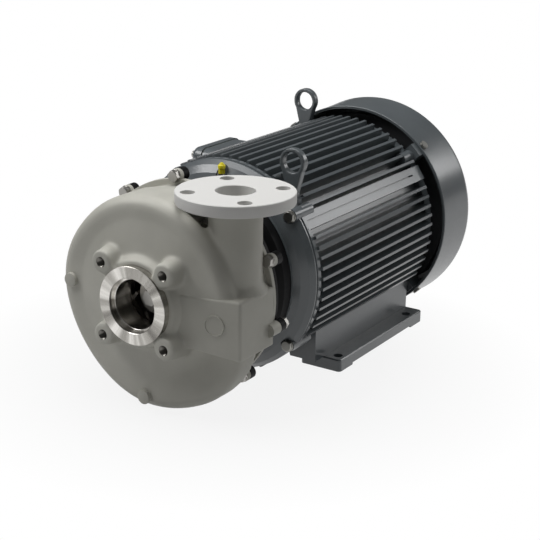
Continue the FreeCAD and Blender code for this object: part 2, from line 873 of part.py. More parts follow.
def motor_adapter():
    # Bell casting with ears in front, a register for the motor spigot and two windows.
    rear_front = adapter_rear_flange_y
    spigot_y = motor_face_y - rabbet_length
    bell = revolve_y([
        (adapter_bore_radius, casing_back_y), (adapter_flange_radius, casing_back_y),
        (adapter_flange_radius, adapter_ear_back_y), (adapter_barrel_front, adapter_ear_back_y + 3),
        (adapter_barrel_back, rear_front - 8), (face_outer_radius - 1, rear_front),
        (face_outer_radius - 1, motor_face_y), (rabbet_radius + running_clearance, motor_face_y),
        (rabbet_radius + running_clearance, spigot_y), (adapter_rear_bore_radius, spigot_y),
        (adapter_rear_bore_radius, rear_front), (adapter_barrel_back - adapter_wall, rear_front),
        (adapter_barrel_front - adapter_wall, adapter_ear_back_y), (adapter_bore_radius, adapter_ear_back_y),
    ])
    pieces = [bell]
    for angle in casing_bolt_angles():
        x, z = polar(casing_bolt_circle, angle)
        pieces.append(cyl_y(casing_ear_radius, casing_back_y, adapter_ear_back_y, x, z))
    bell = fused(pieces)
    tools = []
    for angle in casing_bolt_angles():
        x, z = polar(casing_bolt_circle, angle)
        tools.append(cyl_y(casing_bolt_radius, casing_back_y - 1, adapter_ear_back_y + 1, x, z))
        tools.append(cyl_y(casing_ear_radius, adapter_ear_back_y, adapter_ear_back_y + 14, x, z))
    for index in range(4):
        x, z = polar(face_bolt_circle_radius, 45 + 90 * index)
        tools.append(cyl_y(face_bolt_radius, rear_front - 1, motor_face_y, x, z))
    window_y = (adapter_ear_back_y + rear_front) / 2
    for side in (-1, 1):
        window = box(
            -adapter_window_width / 2, adapter_window_width / 2,
            window_y - adapter_window_length / 2, window_y + adapter_window_length / 2,
            *sorted((side * (adapter_bore_radius - 6), side * (adapter_flange_radius + 2)))
        )
        corners = [e for e in window.Edges if e.BoundBox.ZLength > adapter_window_length]
        tools.append(window.makeFillet(adapter_window_corner, corners))
    return bell.cut(tools)


def adapter_bolts():
    bolts = []
    for index in range(4):
        x, z = polar(face_bolt_circle_radius, 45 + 90 * index)
        bolts.append(hex_bolt_y(
            adapter_bolt_flats, adapter_bolt_head, face_bolt_radius, adapter_bolt_length, x, z,
            adapter_rear_flange_y, 1
        ))
    return compound(bolts)


def drive_end_shield():
    spigot_y = motor_face_y - rabbet_length
    bearing_end = frame_front_y
    shield = revolve_y([
        (seal_shaft_radius + 1.5, spigot_y), (rabbet_radius, spigot_y), (rabbet_radius, motor_face_y),
        (face_outer_radius, motor_face_y), (face_outer_radius, motor_face_y + 4),
        (face_outer_radius + 9, motor_face_y + 8), (front_ring_radius - 6, motor_face_y + 15),
        (front_ring_radius, motor_face_y + 22), (front_ring_radius, frame_front_y - 6),
        (front_ring_radius - 2.5, frame_front_y - 5), (front_ring_radius - 2.5, frame_front_y - 3),
        (front_ring_radius, frame_front_y - 2), (front_ring_radius, frame_front_y),
        (frame_bore_radius, frame_front_y), (frame_bore_radius, frame_front_y + 8),
        (frame_bore_radius - 8, frame_front_y + 8), (frame_bore_radius - 8, frame_front_y - 6),
        (frame_bore_radius - 17, frame_front_y - 14), (drive_bearing_outer + 10, frame_front_y - 20),
        (drive_bearing_outer + 10, bearing_end), (drive_bearing_outer, bearing_end),
        (drive_bearing_outer, drive_bearing_y), (seal_shaft_radius + 1.5, drive_bearing_y),
    ])
    pieces = [shield]
    for angle in shield_bolt_angles:
        x, z = polar(shield_bolt_circle, angle)
        pieces.append(cyl_y(shield_lug_radius, shield_bolt_seat_y, frame_front_y, x, z))
    shield = fused(pieces)
    tools = []
    for angle in shield_bolt_angles:
        x, z = polar(shield_bolt_circle, angle)
        tools.append(cyl_y(shield_bolt_radius, shield_bolt_seat_y - 4, frame_front_y + 1, x, z))
        tools.append(cyl_y(
            shield_lug_radius, shield_bolt_seat_y - shield_bolt_head - 3, shield_bolt_seat_y, x, z
        ))
    for index in range(4):
        x, z = polar(face_bolt_circle_radius, 45 + 90 * index)
        depth = adapter_rear_flange_y + adapter_bolt_length + 2
        tools.append(cyl_y(face_bolt_radius, spigot_y - 1, depth, x, z))
    tools.append(cyl_z(nipple_stem_radius, nipple_base_z - 14, nipple_base_z + 1, nipple_x, nipple_y))
    tools.append(cyl_z(nipple_base_radius + 3, nipple_base_z, front_ring_radius, nipple_x, nipple_y))
    return shield.cut(tools)


def drive_shield_bolts():
    bolts = []
    for angle in shield_bolt_angles:
        x, z = polar(shield_bolt_circle, angle)
        bolts.append(hex_bolt_y(
            shield_bolt_flats, shield_bolt_head, shield_bolt_radius, shield_bolt_length, x, z,
            shield_bolt_seat_y, 1
        ))
    return compound(bolts)


def cooling_fin():
    length = frame_back_y - front_ring_width - 2 - frame_front_y
    start = frame_front_y + front_ring_width - 1
    root = frame_outer_radius - 2
    outline = [
        (root, -fin_root_width / 2), (fin_tip_radius, -fin_tip_width / 2),
        (fin_tip_radius, fin_tip_width / 2), (root, fin_root_width / 2),
    ]
    fin = prism_y(outline, start, start + length)
    end = start + length
    corners = [
        V(fin_tip_radius + 1, end - fin_end_taper, -5), V(fin_tip_radius + 1, end + 1, -5),
        V(root + 6, end + 1, -5),
    ]
    wedge = Part.Face(Part.makePolygon(corners + [corners[0]])).extrude(V(0, 0, 10))
    return fin.cut(wedge)


def fin_is_clear(degrees):
    # Corner bars and foot rails take the place of fins.
    degrees = degrees % 360
    for bar in corner_bar_angles:
        if abs(degrees - bar) < corner_bar_clear:
            return False
    below = abs(degrees - 270)
    return not rail_first_angle < below < rail_last_angle


def motor_frame():
    barrel = cyl_y(frame_outer_radius, frame_front_y, frame_back_y)
    front_ring = cyl_y(front_ring_radius, frame_front_y, frame_front_y + front_ring_width)
    rear_ring = cyl_y(rear_ring_radius, frame_back_y - rear_ring_width, frame_back_y)
    pieces = [barrel, front_ring, rear_ring]
    for index in range(fin_count):
        angle = fin_first_angle + 360.0 / fin_count * index
        if fin_is_clear(angle):
            pieces.append(turned(cooling_fin(), angle))
    for angle in corner_bar_angles:
        bar = box(
            frame_outer_radius - 4, corner_bar_radius, frame_front_y, frame_back_y,
            -corner_bar_width / 2, corner_bar_width / 2
        )
        groove = box(
            corner_bar_radius - corner_bar_groove * 2, corner_bar_radius + 1,
            frame_front_y + front_ring_width, frame_back_y - frame_lug_length,
            -corner_bar_groove / 2, corner_bar_groove / 2
        )
        pieces.append(turned(bar.cut(groove), angle))
    for angle in shield_bolt_angles:
        x, z = polar(shield_bolt_circle, angle)
        pieces.append(cyl_y(shield_lug_radius, frame_front_y, frame_front_y + frame_lug_length, x, z))
    for angle in rear_bolt_angles:
        x, z = polar(shield_bolt_circle, angle)
        pieces.append(cyl_y(shield_lug_radius, frame_back_y - frame_lug_length, frame_back_y, x, z))
    for side in (-1, 1):
        outline = [
            (side * rail_root_inner_x, rail_root_inner_z), (side * rail_root_outer_x, rail_root_outer_z),
            (side * rail_outer_x, rail_root_outer_z - 6), (side * rail_outer_x, foot_top_z),
            (side * rail_inner_x, foot_top_z),
        ]
        pieces.append(prism_y(outline, rail_front_y, frame_back_y - 3))
    pieces.append(box(
        box_inner_x, -box_neck_root_x, box_front_y + 12, box_back_y - 12,
        box_middle_z - box_neck_radius - 6, box_middle_z + box_neck_radius
    ))
    for x, y, z in (front_eye_place, rear_eye_place):
        pieces.append(cyl_z(eye_base_radius + eye_boss_margin, eye_boss_bottom_z, z, x, y))
    frame = fused(pieces)
    tools = [
        cyl_y(frame_bore_radius, frame_front_y - 1, frame_back_y + 1),
        box(
            box_outer_x, box_inner_x, box_front_y - 5, box_back_y + 5,
            box_bottom_z - conduit_collar_height - 4, box_top_z + 5
        ),
    ]
    for angle in shield_bolt_angles:
        x, z = polar(shield_bolt_circle, angle)
        tools.append(cyl_y(shield_bolt_radius, frame_front_y - 1, frame_front_y + frame_bolt_depth, x, z))
    for angle in rear_bolt_angles:
        x, z = polar(shield_bolt_circle, angle)
        tools.append(cyl_y(shield_bolt_radius, frame_back_y - frame_bolt_depth, frame_back_y + 1, x, z))
    for x, y, z in (front_eye_place, rear_eye_place):
        top = z + eye_rise
        tools.append(cyl_z(eye_stud_radius, z - eye_stud_length, z + 1, x, y))
        tools.append(cyl_z(eye_base_radius + eye_boss_margin / 2, z, top, x, y))
        half = eye_plate_thickness / 2 + 2
        reach = eye_outer_radius + 4
        tools.append(box(x - reach, x + reach, y - half, y + half, z, top))
    for x, y in foot_screw_places():
        tools.append(cyl_z(5, foot_top_z - 1, foot_top_z + 22, x, y))
    tools.append(cyl_x(box_neck_radius - 14, box_inner_x - 1, -100, box_centre_y, box_middle_z))
    return frame.cut(tools)


def foot_screw_places():
    places = []
    for side in (-1, 1):
        for y in (front_foot_hole_y + 34, rear_foot_hole_y - 34):
            places.append((side * (rail_inner_x + rail_outer_x) / 2, y))
    return places


def motor_foot(side):
    outer = foot_overall_width / 2
    inner = outer - foot_plate_width
    x0, x1 = sorted((side * inner, side * outer))
    plate = box(x0, x1, foot_front_y, foot_back_y, floor_z, foot_top_z)
    upright = [e for e in plate.Edges if e.BoundBox.ZLength > 1]
    plate = plate.makeFillet(5, upright)
    plate = plate.makeChamfer(1.5, [e for e in plate.Edges if e.BoundBox.ZMin > foot_top_z - 0.01])
    relief = box(
        x0 - 1, x1 + 1, foot_front_y + foot_pad_length, foot_back_y - foot_pad_length,
        floor_z - 1, floor_z + foot_relief_depth
    )
    tools = [relief]
    for y in (front_foot_hole_y, rear_foot_hole_y):
        tools.append(cyl_z(foot_hole_radius, floor_z - 1, foot_top_z + 1, side * foot_hole_spacing_x / 2, y))
    for x, y in foot_screw_places():
        if x * side > 0:
            tools.append(cyl_z(5, floor_z - 1, foot_top_z + 1, x, y))
            tools.append(cyl_z(9, floor_z - 1, floor_z + foot_relief_depth + 9, x, y))
    return plate.cut(tools)


def foot_screws():
    screws = []
    for x, y in foot_screw_places():
        seat = floor_z + foot_relief_depth + 9
        head = cyl_z(8, seat - 8, seat, x, y)
        screws.append(head.fuse(cyl_z(5, seat - 1, foot_top_z + 20, x, y)))
    return compound(screws)


def stator_core():
    return ring_y(frame_bore_radius, stator_bore_radius, stator_front_y, stator_back_y)


def stator_windings():
    # The two coil heads that stand out of the slots at each end of the core.
    heads = []
    for face, out in ((stator_front_y, -1), (stator_back_y, 1)):
        middle = face + out * winding_overhang * 0.55
        end = face + out * winding_overhang
        heads.append(revolve_y([
            (winding_inner_radius, face), (winding_outer_radius - 6, face),
            (winding_outer_radius, middle), (winding_outer_radius - 5, end),
            (winding_inner_radius + 6, end), (winding_inner_radius, middle),
        ]))
    return compound(heads)


def rotor_core():
    core = ring_y(rotor_radius, rotor_seat_radius, stator_front_y, stator_back_y)
    pieces = [core]
    for y0, y1 in ((stator_front_y - rotor_ring_length, stator_front_y),
                   (stator_back_y, stator_back_y + rotor_ring_length)):
        pieces.append(ring_y(rotor_ring_outer, rotor_ring_inner, y0, y1))
        out = -1 if y0 < stator_front_y else 1
        face = y0 if out < 0 else y1
        for index in range(8):
            blade = box(rotor_ring_inner + 3, rotor_ring_outer - 2,
                        min(face, face + out * 14), max(face, face + out * 14), -2, 2)
            pieces.append(turned(blade, 45 * index))
    return fused(pieces)


def motor_shaft():
    drive_end = drive_bearing_y + drive_bearing_width
    rear_seat = rear_bearing_y + rear_bearing_width
    shaft = revolve_y([
        (0, shaft_front_y), (pump_shaft_radius, shaft_front_y),
        (pump_shaft_radius, sleeve_seat_end_y), (seal_shaft_radius, sleeve_seat_end_y),
        (seal_shaft_radius, drive_bearing_y), (drive_bearing_bore, drive_bearing_y),
        (drive_bearing_bore, drive_end), (shaft_collar_radius, drive_end),
        (shaft_collar_radius, drive_end + 20), (rotor_seat_radius, drive_end + 24),
        (rotor_seat_radius, rear_bearing_y - 24), (rear_collar_radius, rear_bearing_y - 20),
        (rear_collar_radius, rear_bearing_y), (rear_bearing_bore, rear_bearing_y),
        (rear_bearing_bore, rear_seat), (fan_seat_radius, rear_seat),
        (fan_seat_radius, shaft_rear_y), (0, shaft_rear_y),
    ])
    slot = box(
        -key_width / 2, key_width / 2, impeller_hub_front_y + 5, impeller_hub_front_y + 5 + key_length,
        pump_shaft_radius - key_width / 2, pump_shaft_radius + 5
    )
    bolt_hole = cyl_y(impeller_bolt_radius, 0, impeller_hub_front_y + impeller_bolt_length)
    return shaft.cut([slot, bolt_hole])


def race_radii(bore, outer):
    depth = (outer - bore) * bearing_race_share
    return bore + depth, outer - depth


def grooved_ring(edge, race, y0, width):
    # A ring from its plain edge to its race side, with a flat-bottomed race where the balls run.
    depth = (race - edge) * race_depth_share
    return revolve_y([
        (edge, y0), (race, y0), (race, y0 + width * 0.25), (race - depth, y0 + width * 0.4),
        (race - depth, y0 + width * 0.6), (race, y0 + width * 0.75), (race, y0 + width), (edge, y0 + width),
    ])


def bearing_parts(bore, outer, y0, width):
    # Inner ring, outer ring with its two shields.
    inner_edge, outer_edge = race_radii(bore, outer)
    inner_ring = grooved_ring(bore, inner_edge, y0, width)
    outer_ring = grooved_ring(outer, outer_edge, y0, width)
    shields = []
    for y in (y0 + 0.8, y0 + width - 2.0):
        shields.append(ring_y(outer_edge + 0.5, inner_edge + loose_clearance, y, y + 1.2))
    return inner_ring, fused([outer_ring] + shields)


def rear_end_shield():
    shield = revolve_y([
        (rear_bearing_outer, rear_bearing_y - 3), (rear_bearing_outer + 8, rear_bearing_y - 3),
        (rear_bearing_outer + 8, rear_bearing_y + 10), (frame_bore_radius - 12, frame_back_y + 2),
        (frame_bore_radius - 8, frame_back_y - 10), (frame_bore_radius, frame_back_y - 10),
        (frame_bore_radius, frame_back_y), (rear_ring_radius, frame_back_y),
        (rear_ring_radius, frame_back_y + 10), (frame_bore_radius - 4, frame_back_y + 16),
        (rear_bearing_outer + 14, rear_bearing_y + 27), (rear_collar_radius, rear_bearing_y + 27),
        (rear_collar_radius, rear_bearing_y + 22.5), (rear_bearing_outer, rear_bearing_y + 22.5),
    ])
    pieces = [shield]
    seat_radius = fan_cover_seat_radius()
    for angle in rear_bolt_angles:
        arm = box(
            frame_bore_radius - 6, fan_cover_back_radius, frame_back_y, fan_cover_screw_y + 9, -11, 11
        )
        pieces.append(turned(arm, angle))
    shield = fused(pieces).common(cyl_y(seat_radius, rear_bearing_y - 20, fan_cover_back_y))
    tools = []
    for angle in rear_bolt_angles:
        x, z = polar(shield_bolt_circle, angle)
        tools.append(cyl_y(shield_bolt_radius, frame_back_y - 1, fan_cover_screw_y + 10, x, z))
        hole = cyl_x(3, shield_bolt_circle + 9, seat_radius + 2, fan_cover_screw_y, 0)
        tools.append(turned(hole, angle))
    return shield.cut(tools)


def fan_cover_seat_radius():
    return fan_cover_front_radius - fan_cover_wall - seat_clearance


def rear_shield_bolts():
    bolts = []
    seat = fan_cover_screw_y + 9
    for angle in rear_bolt_angles:
        x, z = polar(shield_bolt_circle, angle)
        bolts.append(hex_bolt_y(
            shield_bolt_flats, shield_bolt_head, shield_bolt_radius, seat - frame_back_y + 20, x, z, seat, -1
        ))
    return compound(bolts)


def drive_bearing_cap():
    # The cap seats on the end of the shield's bearing housing and holds the bearing in.
    back = frame_front_y
    return revolve_y([
        (shaft_collar_radius + 1.5, back), (drive_bearing_outer + 10, back),
        (drive_bearing_outer + 10, back + 5), (shaft_collar_radius + 9, back + 11),
        (shaft_collar_radius + 1.5, back + 11),
    ])


def bearing_preload_washer():
    back = rear_bearing_y + rear_bearing_width
    return ring_y(rear_bearing_outer - loose_clearance, rear_bearing_outer - 6, back, back + 1.5)


def fan_cover():
    wall = fan_cover_wall
    outer = revolve_y(
        [(0, fan_cover_front_y), (fan_cover_front_radius, fan_cover_front_y)]
        + rounded_corner(fan_cover_back_radius, fan_cover_back_y, fan_cover_corner, 5)
        + [(0, fan_cover_back_y)]
    )
    inner = revolve_y(
        [(0, fan_cover_front_y), (fan_cover_front_radius - wall, fan_cover_front_y)]
        + rounded_corner(fan_cover_back_radius - wall, fan_cover_back_y - wall, fan_cover_corner - wall, 2)
        + [(0, fan_cover_back_y - wall)]
    )
    below = box(
        -fan_cover_back_radius, fan_cover_back_radius, fan_cover_front_y - 1, fan_cover_back_y + 1,
        -fan_cover_back_radius - 1, fan_cover_bottom_z
    )
    outer = outer.cut(below)
    inner = inner.cut(below.translated(V(0, 0, fan_cover_wall)))
    shell = outer.cut(inner)
    slots = []
    for index in range(grille_ring_count):
        middle = grille_first_radius + grille_ring_step * index
        ring = ring_y(
            middle + grille_slot_width / 2, middle - grille_slot_width / 2,
            fan_cover_back_y - fan_cover_wall - 1, fan_cover_back_y + 1
        )
        slots.append(ring)
    slots = compound(slots)
    ribs = []
    for index in range(grille_rib_count):
        rib = box(
            10, fan_cover_back_radius, fan_cover_back_y - fan_cover_wall - 2, fan_cover_back_y + 2,
            -grille_rib_width / 2, grille_rib_width / 2
        )
        ribs.append(turned(rib, 360.0 / grille_rib_count * index))
    slots = slots.cut(ribs)
    holes = [turned(cyl_x(3.2, 150, 180, fan_cover_screw_y, 0), a) for a in rear_bolt_angles]
    return shell.cut([slots] + holes)


def fan_cover_screws():
    screws = []
    straight = fan_cover_back_y - fan_cover_corner - fan_cover_front_y
    rise = (fan_cover_back_radius - fan_cover_front_radius) / straight
    seat = fan_cover_front_radius + rise * (fan_cover_screw_y + 6 - fan_cover_front_y)
    for angle in rear_bolt_angles:
        head = cyl_x(6.5, seat, seat + 4, fan_cover_screw_y, 0)
        shank = cyl_x(3, shield_bolt_circle + 10, seat + 1, fan_cover_screw_y, 0)
        screws.append(turned(head.fuse(shank), angle))
    return compound(screws)


def cooling_fan():
    disc_back = fan_front_y + fan_disc_thickness
    hub = cyl_y(fan_hub_radius, fan_front_y, fan_front_y + 30)
    disc = cyl_y(fan_radius - 6, fan_front_y, disc_back)
    pieces = [hub, disc]
    for index in range(fan_blade_count):
        corners = [
            V(fan_hub_radius - 3, fan_front_y, -fan_blade_thickness / 2),
            V(fan_radius, fan_front_y, -fan_blade_thickness / 2),
            V(fan_radius, fan_front_y + fan_blade_depth, -fan_blade_thickness / 2),
            V(fan_radius * 0.55, fan_front_y + fan_blade_depth, -fan_blade_thickness / 2),
            V(fan_hub_radius - 3, fan_front_y + 24, -fan_blade_thickness / 2),
        ]
        blade = Part.Face(Part.makePolygon(corners + [corners[0]])).extrude(V(0, 0, fan_blade_thickness))
        pieces.append(turned(blade, 360.0 / fan_blade_count * index))
    fan = fused(pieces)
    return fan.cut(cyl_y(fan_seat_radius, fan_front_y - 1, fan_front_y + 60))


def fan_clip():
    start = fan_front_y + 30
    return ring_y(fan_seat_radius + 5, fan_seat_radius, start, start + 2)


def rounded_box_x(x0, x1, y0, y1, z0, z1, corner):
    body = box(x0, x1, y0, y1, z0, z1)
    return body.makeFillet(corner, [e for e in body.Edges if e.BoundBox.XLength > 1])


def terminal_box():
    outer = rounded_box_x(
        box_outer_x, box_inner_x, box_front_y, box_back_y, box_bottom_z, box_top_z, box_corner_radius
    )
    outer = outer.makeFillet(6, [e for e in outer.Edges if e.BoundBox.XMin > box_inner_x - 0.01])
    inner = rounded_box_x(
        box_outer_x - 1, box_inner_x - box_wall, box_front_y + box_wall, box_back_y - box_wall,
        box_bottom_z + box_wall, box_top_z - box_wall, box_corner_radius - box_wall
    )
    shell = outer.cut(inner)
    posts = []
    for y, z in box_screw_places():
        posts.append(cyl_x(box_screw_radius + 4, box_outer_x, box_inner_x - 2, y, z))
    collar = cyl_z(
        conduit_radius + conduit_collar_wall, box_bottom_z - conduit_collar_height, box_bottom_z + box_wall,
        box_conduit_x(), box_centre_y
    )
    shell = fused([shell, collar] + posts)
    tools = [
        cyl_x(box_neck_radius - 14, box_inner_x - 10, box_inner_x + 5, box_centre_y, box_middle_z),
        cyl_z(conduit_radius, box_bottom_z - 6, box_bottom_z + box_wall + 1, box_conduit_x(), box_centre_y),
    ]
    for y, z in box_screw_places():
        tools.append(cyl_x(box_screw_radius, box_outer_x - 1, box_outer_x + 18, y, z))
    return shell.cut(tools)


def box_conduit_x():
    return box_outer_x + conduit_from_cover


def box_screw_places():
    places = []
    for y in (box_front_y + box_screw_inset, box_back_y - box_screw_inset):
        for z in (box_bottom_z + box_screw_inset, box_top_z - box_screw_inset):
            places.append((y, z))
    return places


def terminal_box_gasket():
    outer = rounded_box_x(
        box_outer_x - box_gasket_thickness, box_outer_x, box_front_y, box_back_y,
        box_bottom_z, box_top_z, box_corner_radius
    )
    inner = rounded_box_x(
        box_outer_x - box_gasket_thickness - 1, box_outer_x + 1, box_front_y + box_wall, box_back_y - box_wall,
        box_bottom_z + box_wall, box_top_z - box_wall, box_corner_radius - box_wall
    )
    sheet = outer.cut(inner)
    corners = []
    for y, z in box_screw_places():
        corners.append(cyl_x(box_screw_radius + 4, box_outer_x - box_gasket_thickness, box_outer_x, y, z))
    sheet = fused([sheet] + corners)
    holes = [cyl_x(box_screw_radius, box_outer_x - 5, box_outer_x + 5, y, z) for y, z in box_screw_places()]
    return sheet.cut(holes)


def terminal_box_cover():
    seat = box_outer_x - box_gasket_thickness
    outer = rounded_box_x(
        seat - box_cover_depth, seat, box_front_y - 1.5, box_back_y + 1.5,
        box_bottom_z - 1.5, box_top_z + 1.5, box_corner_radius
    )
    outer = outer.makeFillet(9, [e for e in outer.Edges if e.BoundBox.XMax < seat - box_cover_depth + 0.01])
    inner = rounded_box_x(
        seat - box_cover_depth + box_wall, seat + 1, box_front_y + box_wall, box_back_y - box_wall,
        box_bottom_z + box_wall, box_top_z - box_wall, box_corner_radius - box_wall
    )
    shell = outer.cut(inner)
    posts = []
    for y, z in box_screw_places():
        posts.append(cyl_x(box_screw_radius + 4, seat - box_cover_depth + 2, seat, y, z))
    shell = fused([shell] + posts)
    holes = [cyl_x(box_screw_radius, seat - box_cover_depth - 2, seat + 2, y, z) for y, z in box_screw_places()]
    return shell.cut(holes)


def terminal_box_screws():
    screws = []
    seat = box_outer_x - box_gasket_thickness - box_cover_depth
    for y, z in box_screw_places():
        head = cyl_x(5.5, seat - 3.5, seat, y, z)
        shank = cyl_x(box_screw_radius, seat - 1, box_outer_x + 16, y, z)
        screws.append(head.fuse(shank))
    return compound(screws)


def terminal_block():
    seat = box_inner_x - box_wall
    base = box(seat - 10, seat, box_centre_y - 48, box_centre_y - 30, box_middle_z - 30, box_middle_z + 30)
    pieces = [base]
    for index in range(3):
        z = box_middle_z - 20 + 20 * index
        pieces.append(cyl_x(3, seat - 22, seat - 8, box_centre_y - 39, z))
    return fused(pieces)


def lifting_eye(place):
    # Flat eye: a ring on a flaring stem, a round collar and a threaded stud.
    x, y, z = place
    centre_z = z + eye_rise
    half = eye_plate_thickness / 2
    ring = cyl_y(eye_outer_radius, y - half, y + half, x, centre_z)
    foot = eye_foot_half_width
    waist_x, waist_z = polar(eye_outer_radius, eye_waist_angle)
    stem = prism_y([
        (x - waist_x, centre_z + waist_z), (x + waist_x, centre_z + waist_z),
        (x + foot, z + 3), (x - foot, z + 3),
    ], y - half, y + half)
    collar = cyl_z(eye_base_radius, z, z + 4, x, y)
    stud = cyl_z(eye_stud_radius, z - eye_stud_length, z + 2, x, y)
    eye = fused([ring, stem, collar, stud])
    eye = eye.cut(cyl_y(eye_hole_radius, y - half - 1, y + half + 1, x, centre_z))
    return eye


def grease_nipple():
    base = cyl_z(nipple_base_radius, nipple_base_z, nipple_base_z + nipple_base_height, nipple_x, nipple_y)
    top = nipple_base_z + nipple_base_height
    stem = cyl_z(nipple_stem_radius, nipple_base_z - 12, top + nipple_stem_height - 4, nipple_x, nipple_y)
    tip = Part.makeCone(nipple_stem_radius, 1.6, 3, V(nipple_x, nipple_y, top + nipple_stem_height - 4))
    return fused([base, stem, tip])


def grease_cap():
    seat = nipple_base_z + nipple_base_height + loose_clearance
    body = cyl_z(grease_cap_radius, seat, seat + grease_cap_height, nipple_x, nipple_y)
    body = body.makeFillet(2.2, [e for e in body.Edges if e.BoundBox.ZMin > seat + grease_cap_height - 0.1])
    hollow = cyl_z(nipple_stem_radius + running_clearance, seat - 1, seat + nipple_stem_height, nipple_x, nipple_y)
    return body.cut(hollow)


def build_parts():
    drive_inner, drive_outer = bearing_parts(
        drive_bearing_bore, drive_bearing_outer, drive_bearing_y, drive_bearing_width
    )
    rear_inner, rear_outer = bearing_parts(
        rear_bearing_bore, rear_bearing_outer, rear_bearing_y, rear_bearing_width
    )
    return {
        "volute_casing": volute_casing(),
        "casing_wear_ring": casing_wear_ring(),
        "casing_gasket": casing_gasket(),
        "casing_vent_plug": casing_vent_plug(),
        "casing_bolts": casing_bolts(),
        "impeller": impeller(),
        "impeller_washer": impeller_washer(),
        "impeller_bolt": impeller_bolt(),
        "impeller_key": impeller_key(),
        "shaft_sleeve": shaft_sleeve(),
        "seal_rotating_head": seal_rotating_head(),
        "seal_spring": seal_spring(),
        "seal_seat": seal_seat(),
        "seal_cover": seal_cover(),
        "water_slinger": water_slinger(),
        "motor_adapter": motor_adapter(),
        "adapter_bolts": adapter_bolts(),
        "drive_end_shield": drive_end_shield(),
        "drive_shield_bolts": drive_shield_bolts(),
        "motor_frame": motor_frame(),
        "left_foot": motor_foot(-1),
        "right_foot": motor_foot(1),
        "foot_screws": foot_screws(),
        "stator_core": stator_core(),
        "stator_windings": stator_windings(),
        "rotor_core": rotor_core(),
        "motor_shaft": motor_shaft(),
        "drive_bearing_inner_ring": drive_inner,
        "drive_bearing_outer_ring": drive_outer,
        "drive_bearing_cap": drive_bearing_cap(),
        "rear_bearing_inner_ring": rear_inner,
        "rear_bearing_outer_ring": rear_outer,
        "bearing_preload_washer": bearing_preload_washer(),
        "rear_end_shield": rear_end_shield(),
        "rear_shield_bolts": rear_shield_bolts(),
        "cooling_fan": cooling_fan(),
        "fan_clip": fan_clip(),
        "fan_cover": fan_cover(),
        "fan_cover_screws": fan_cover_screws(),
        "terminal_box": terminal_box(),
        "terminal_box_gasket": terminal_box_gasket(),
        "terminal_box_cover": terminal_box_cover(),
        "terminal_box_screws": terminal_box_screws(),
        "terminal_block": terminal_block(),
        "front_lifting_eye": lifting_eye(front_eye_place),
        "rear_lifting_eye": lifting_eye(rear_eye_place),
        "grease_nipple": grease_nipple(),
        "grease_cap": grease_cap(),
    }


os.makedirs("parts", exist_ok=True)
for node, shape in build_parts().items():
    shape.exportStep("parts/" + node + ".step")
    print(node, len(shape.Solids), shape.isValid(), round(shape.Volume / 1000, 1))
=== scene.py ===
import bpy
import json
import math
from mathutils import Matrix, Vector


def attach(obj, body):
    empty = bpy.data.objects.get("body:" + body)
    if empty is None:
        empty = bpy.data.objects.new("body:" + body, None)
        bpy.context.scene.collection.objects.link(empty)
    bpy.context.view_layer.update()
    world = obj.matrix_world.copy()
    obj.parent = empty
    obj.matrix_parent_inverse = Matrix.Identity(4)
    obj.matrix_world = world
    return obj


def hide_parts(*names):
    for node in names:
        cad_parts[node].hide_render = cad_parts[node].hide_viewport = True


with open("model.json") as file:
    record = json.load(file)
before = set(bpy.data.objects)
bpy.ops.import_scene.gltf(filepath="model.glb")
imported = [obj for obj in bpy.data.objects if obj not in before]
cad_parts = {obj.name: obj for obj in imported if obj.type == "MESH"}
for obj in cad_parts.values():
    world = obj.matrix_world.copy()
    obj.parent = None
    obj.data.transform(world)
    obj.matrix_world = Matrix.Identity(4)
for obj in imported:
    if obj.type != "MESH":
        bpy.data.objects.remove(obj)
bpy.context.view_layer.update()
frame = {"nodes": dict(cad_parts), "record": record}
nodes = frame["nodes"]
print("frame loaded,", len(nodes), "nodes")

# Camera, solved from the two pipe flanges and the motor
view = {"azimuth": 32.92, "elevation": 18.49, "roll": 0.74, "lens": 87.0, "sensor": 36.0,
        "place": (0.9889, -1.2069, 0.5690), "shift": (0.0011, 0.0007)}


def makeCamera():
    az, el, roll = (math.radians(view[key]) for key in ("azimuth", "elevation", "roll"))
    back = Vector((math.sin(az) * math.cos(el), -math.cos(az) * math.cos(el), math.sin(el)))
    right = Vector((math.cos(az), math.sin(az), 0))
    up = back.cross(right)
    rightTurned = right * math.cos(roll) + up * math.sin(roll)
    upTurned = up * math.cos(roll) - right * math.sin(roll)
    camera = bpy.data.objects.new("photoCamera", bpy.data.cameras.new("photoCamera"))
    bpy.context.scene.collection.objects.link(camera)
    camera.matrix_world = Matrix((
        (rightTurned.x, upTurned.x, back.x, view["place"][0]),
        (rightTurned.y, upTurned.y, back.y, view["place"][1]),
        (rightTurned.z, upTurned.z, back.z, view["place"][2]),
        (0, 0, 0, 1)))
    camera.data.sensor_width = view["sensor"]
    camera.data.lens = view["lens"]
    camera.data.shift_x, camera.data.shift_y = view["shift"]
    camera.data.clip_end = 50
    bpy.context.scene.camera = camera


makeCamera()
print("camera ready")


# Material helpers
def startMaterial(name, colour, roughness, metallic=0.0):
    material = bpy.data.materials.new(name)
    material.use_nodes = True
    tree = material.node_tree
    shader = tree.nodes["Principled BSDF"]
    shader.inputs["Base Color"].default_value = (*colour, 1)
    shader.inputs["Roughness"].default_value = roughness
    shader.inputs["Metallic"].default_value = metallic
    return material, tree, shader


def objectPlace(tree, scale=(1, 1, 1)):
    coords = tree.nodes.new("ShaderNodeTexCoord")
    mapping = tree.nodes.new("ShaderNodeMapping")
    mapping.inputs["Scale"].default_value = scale
    tree.links.new(coords.outputs["Object"], mapping.inputs["Vector"])
    return mapping.outputs["Vector"]


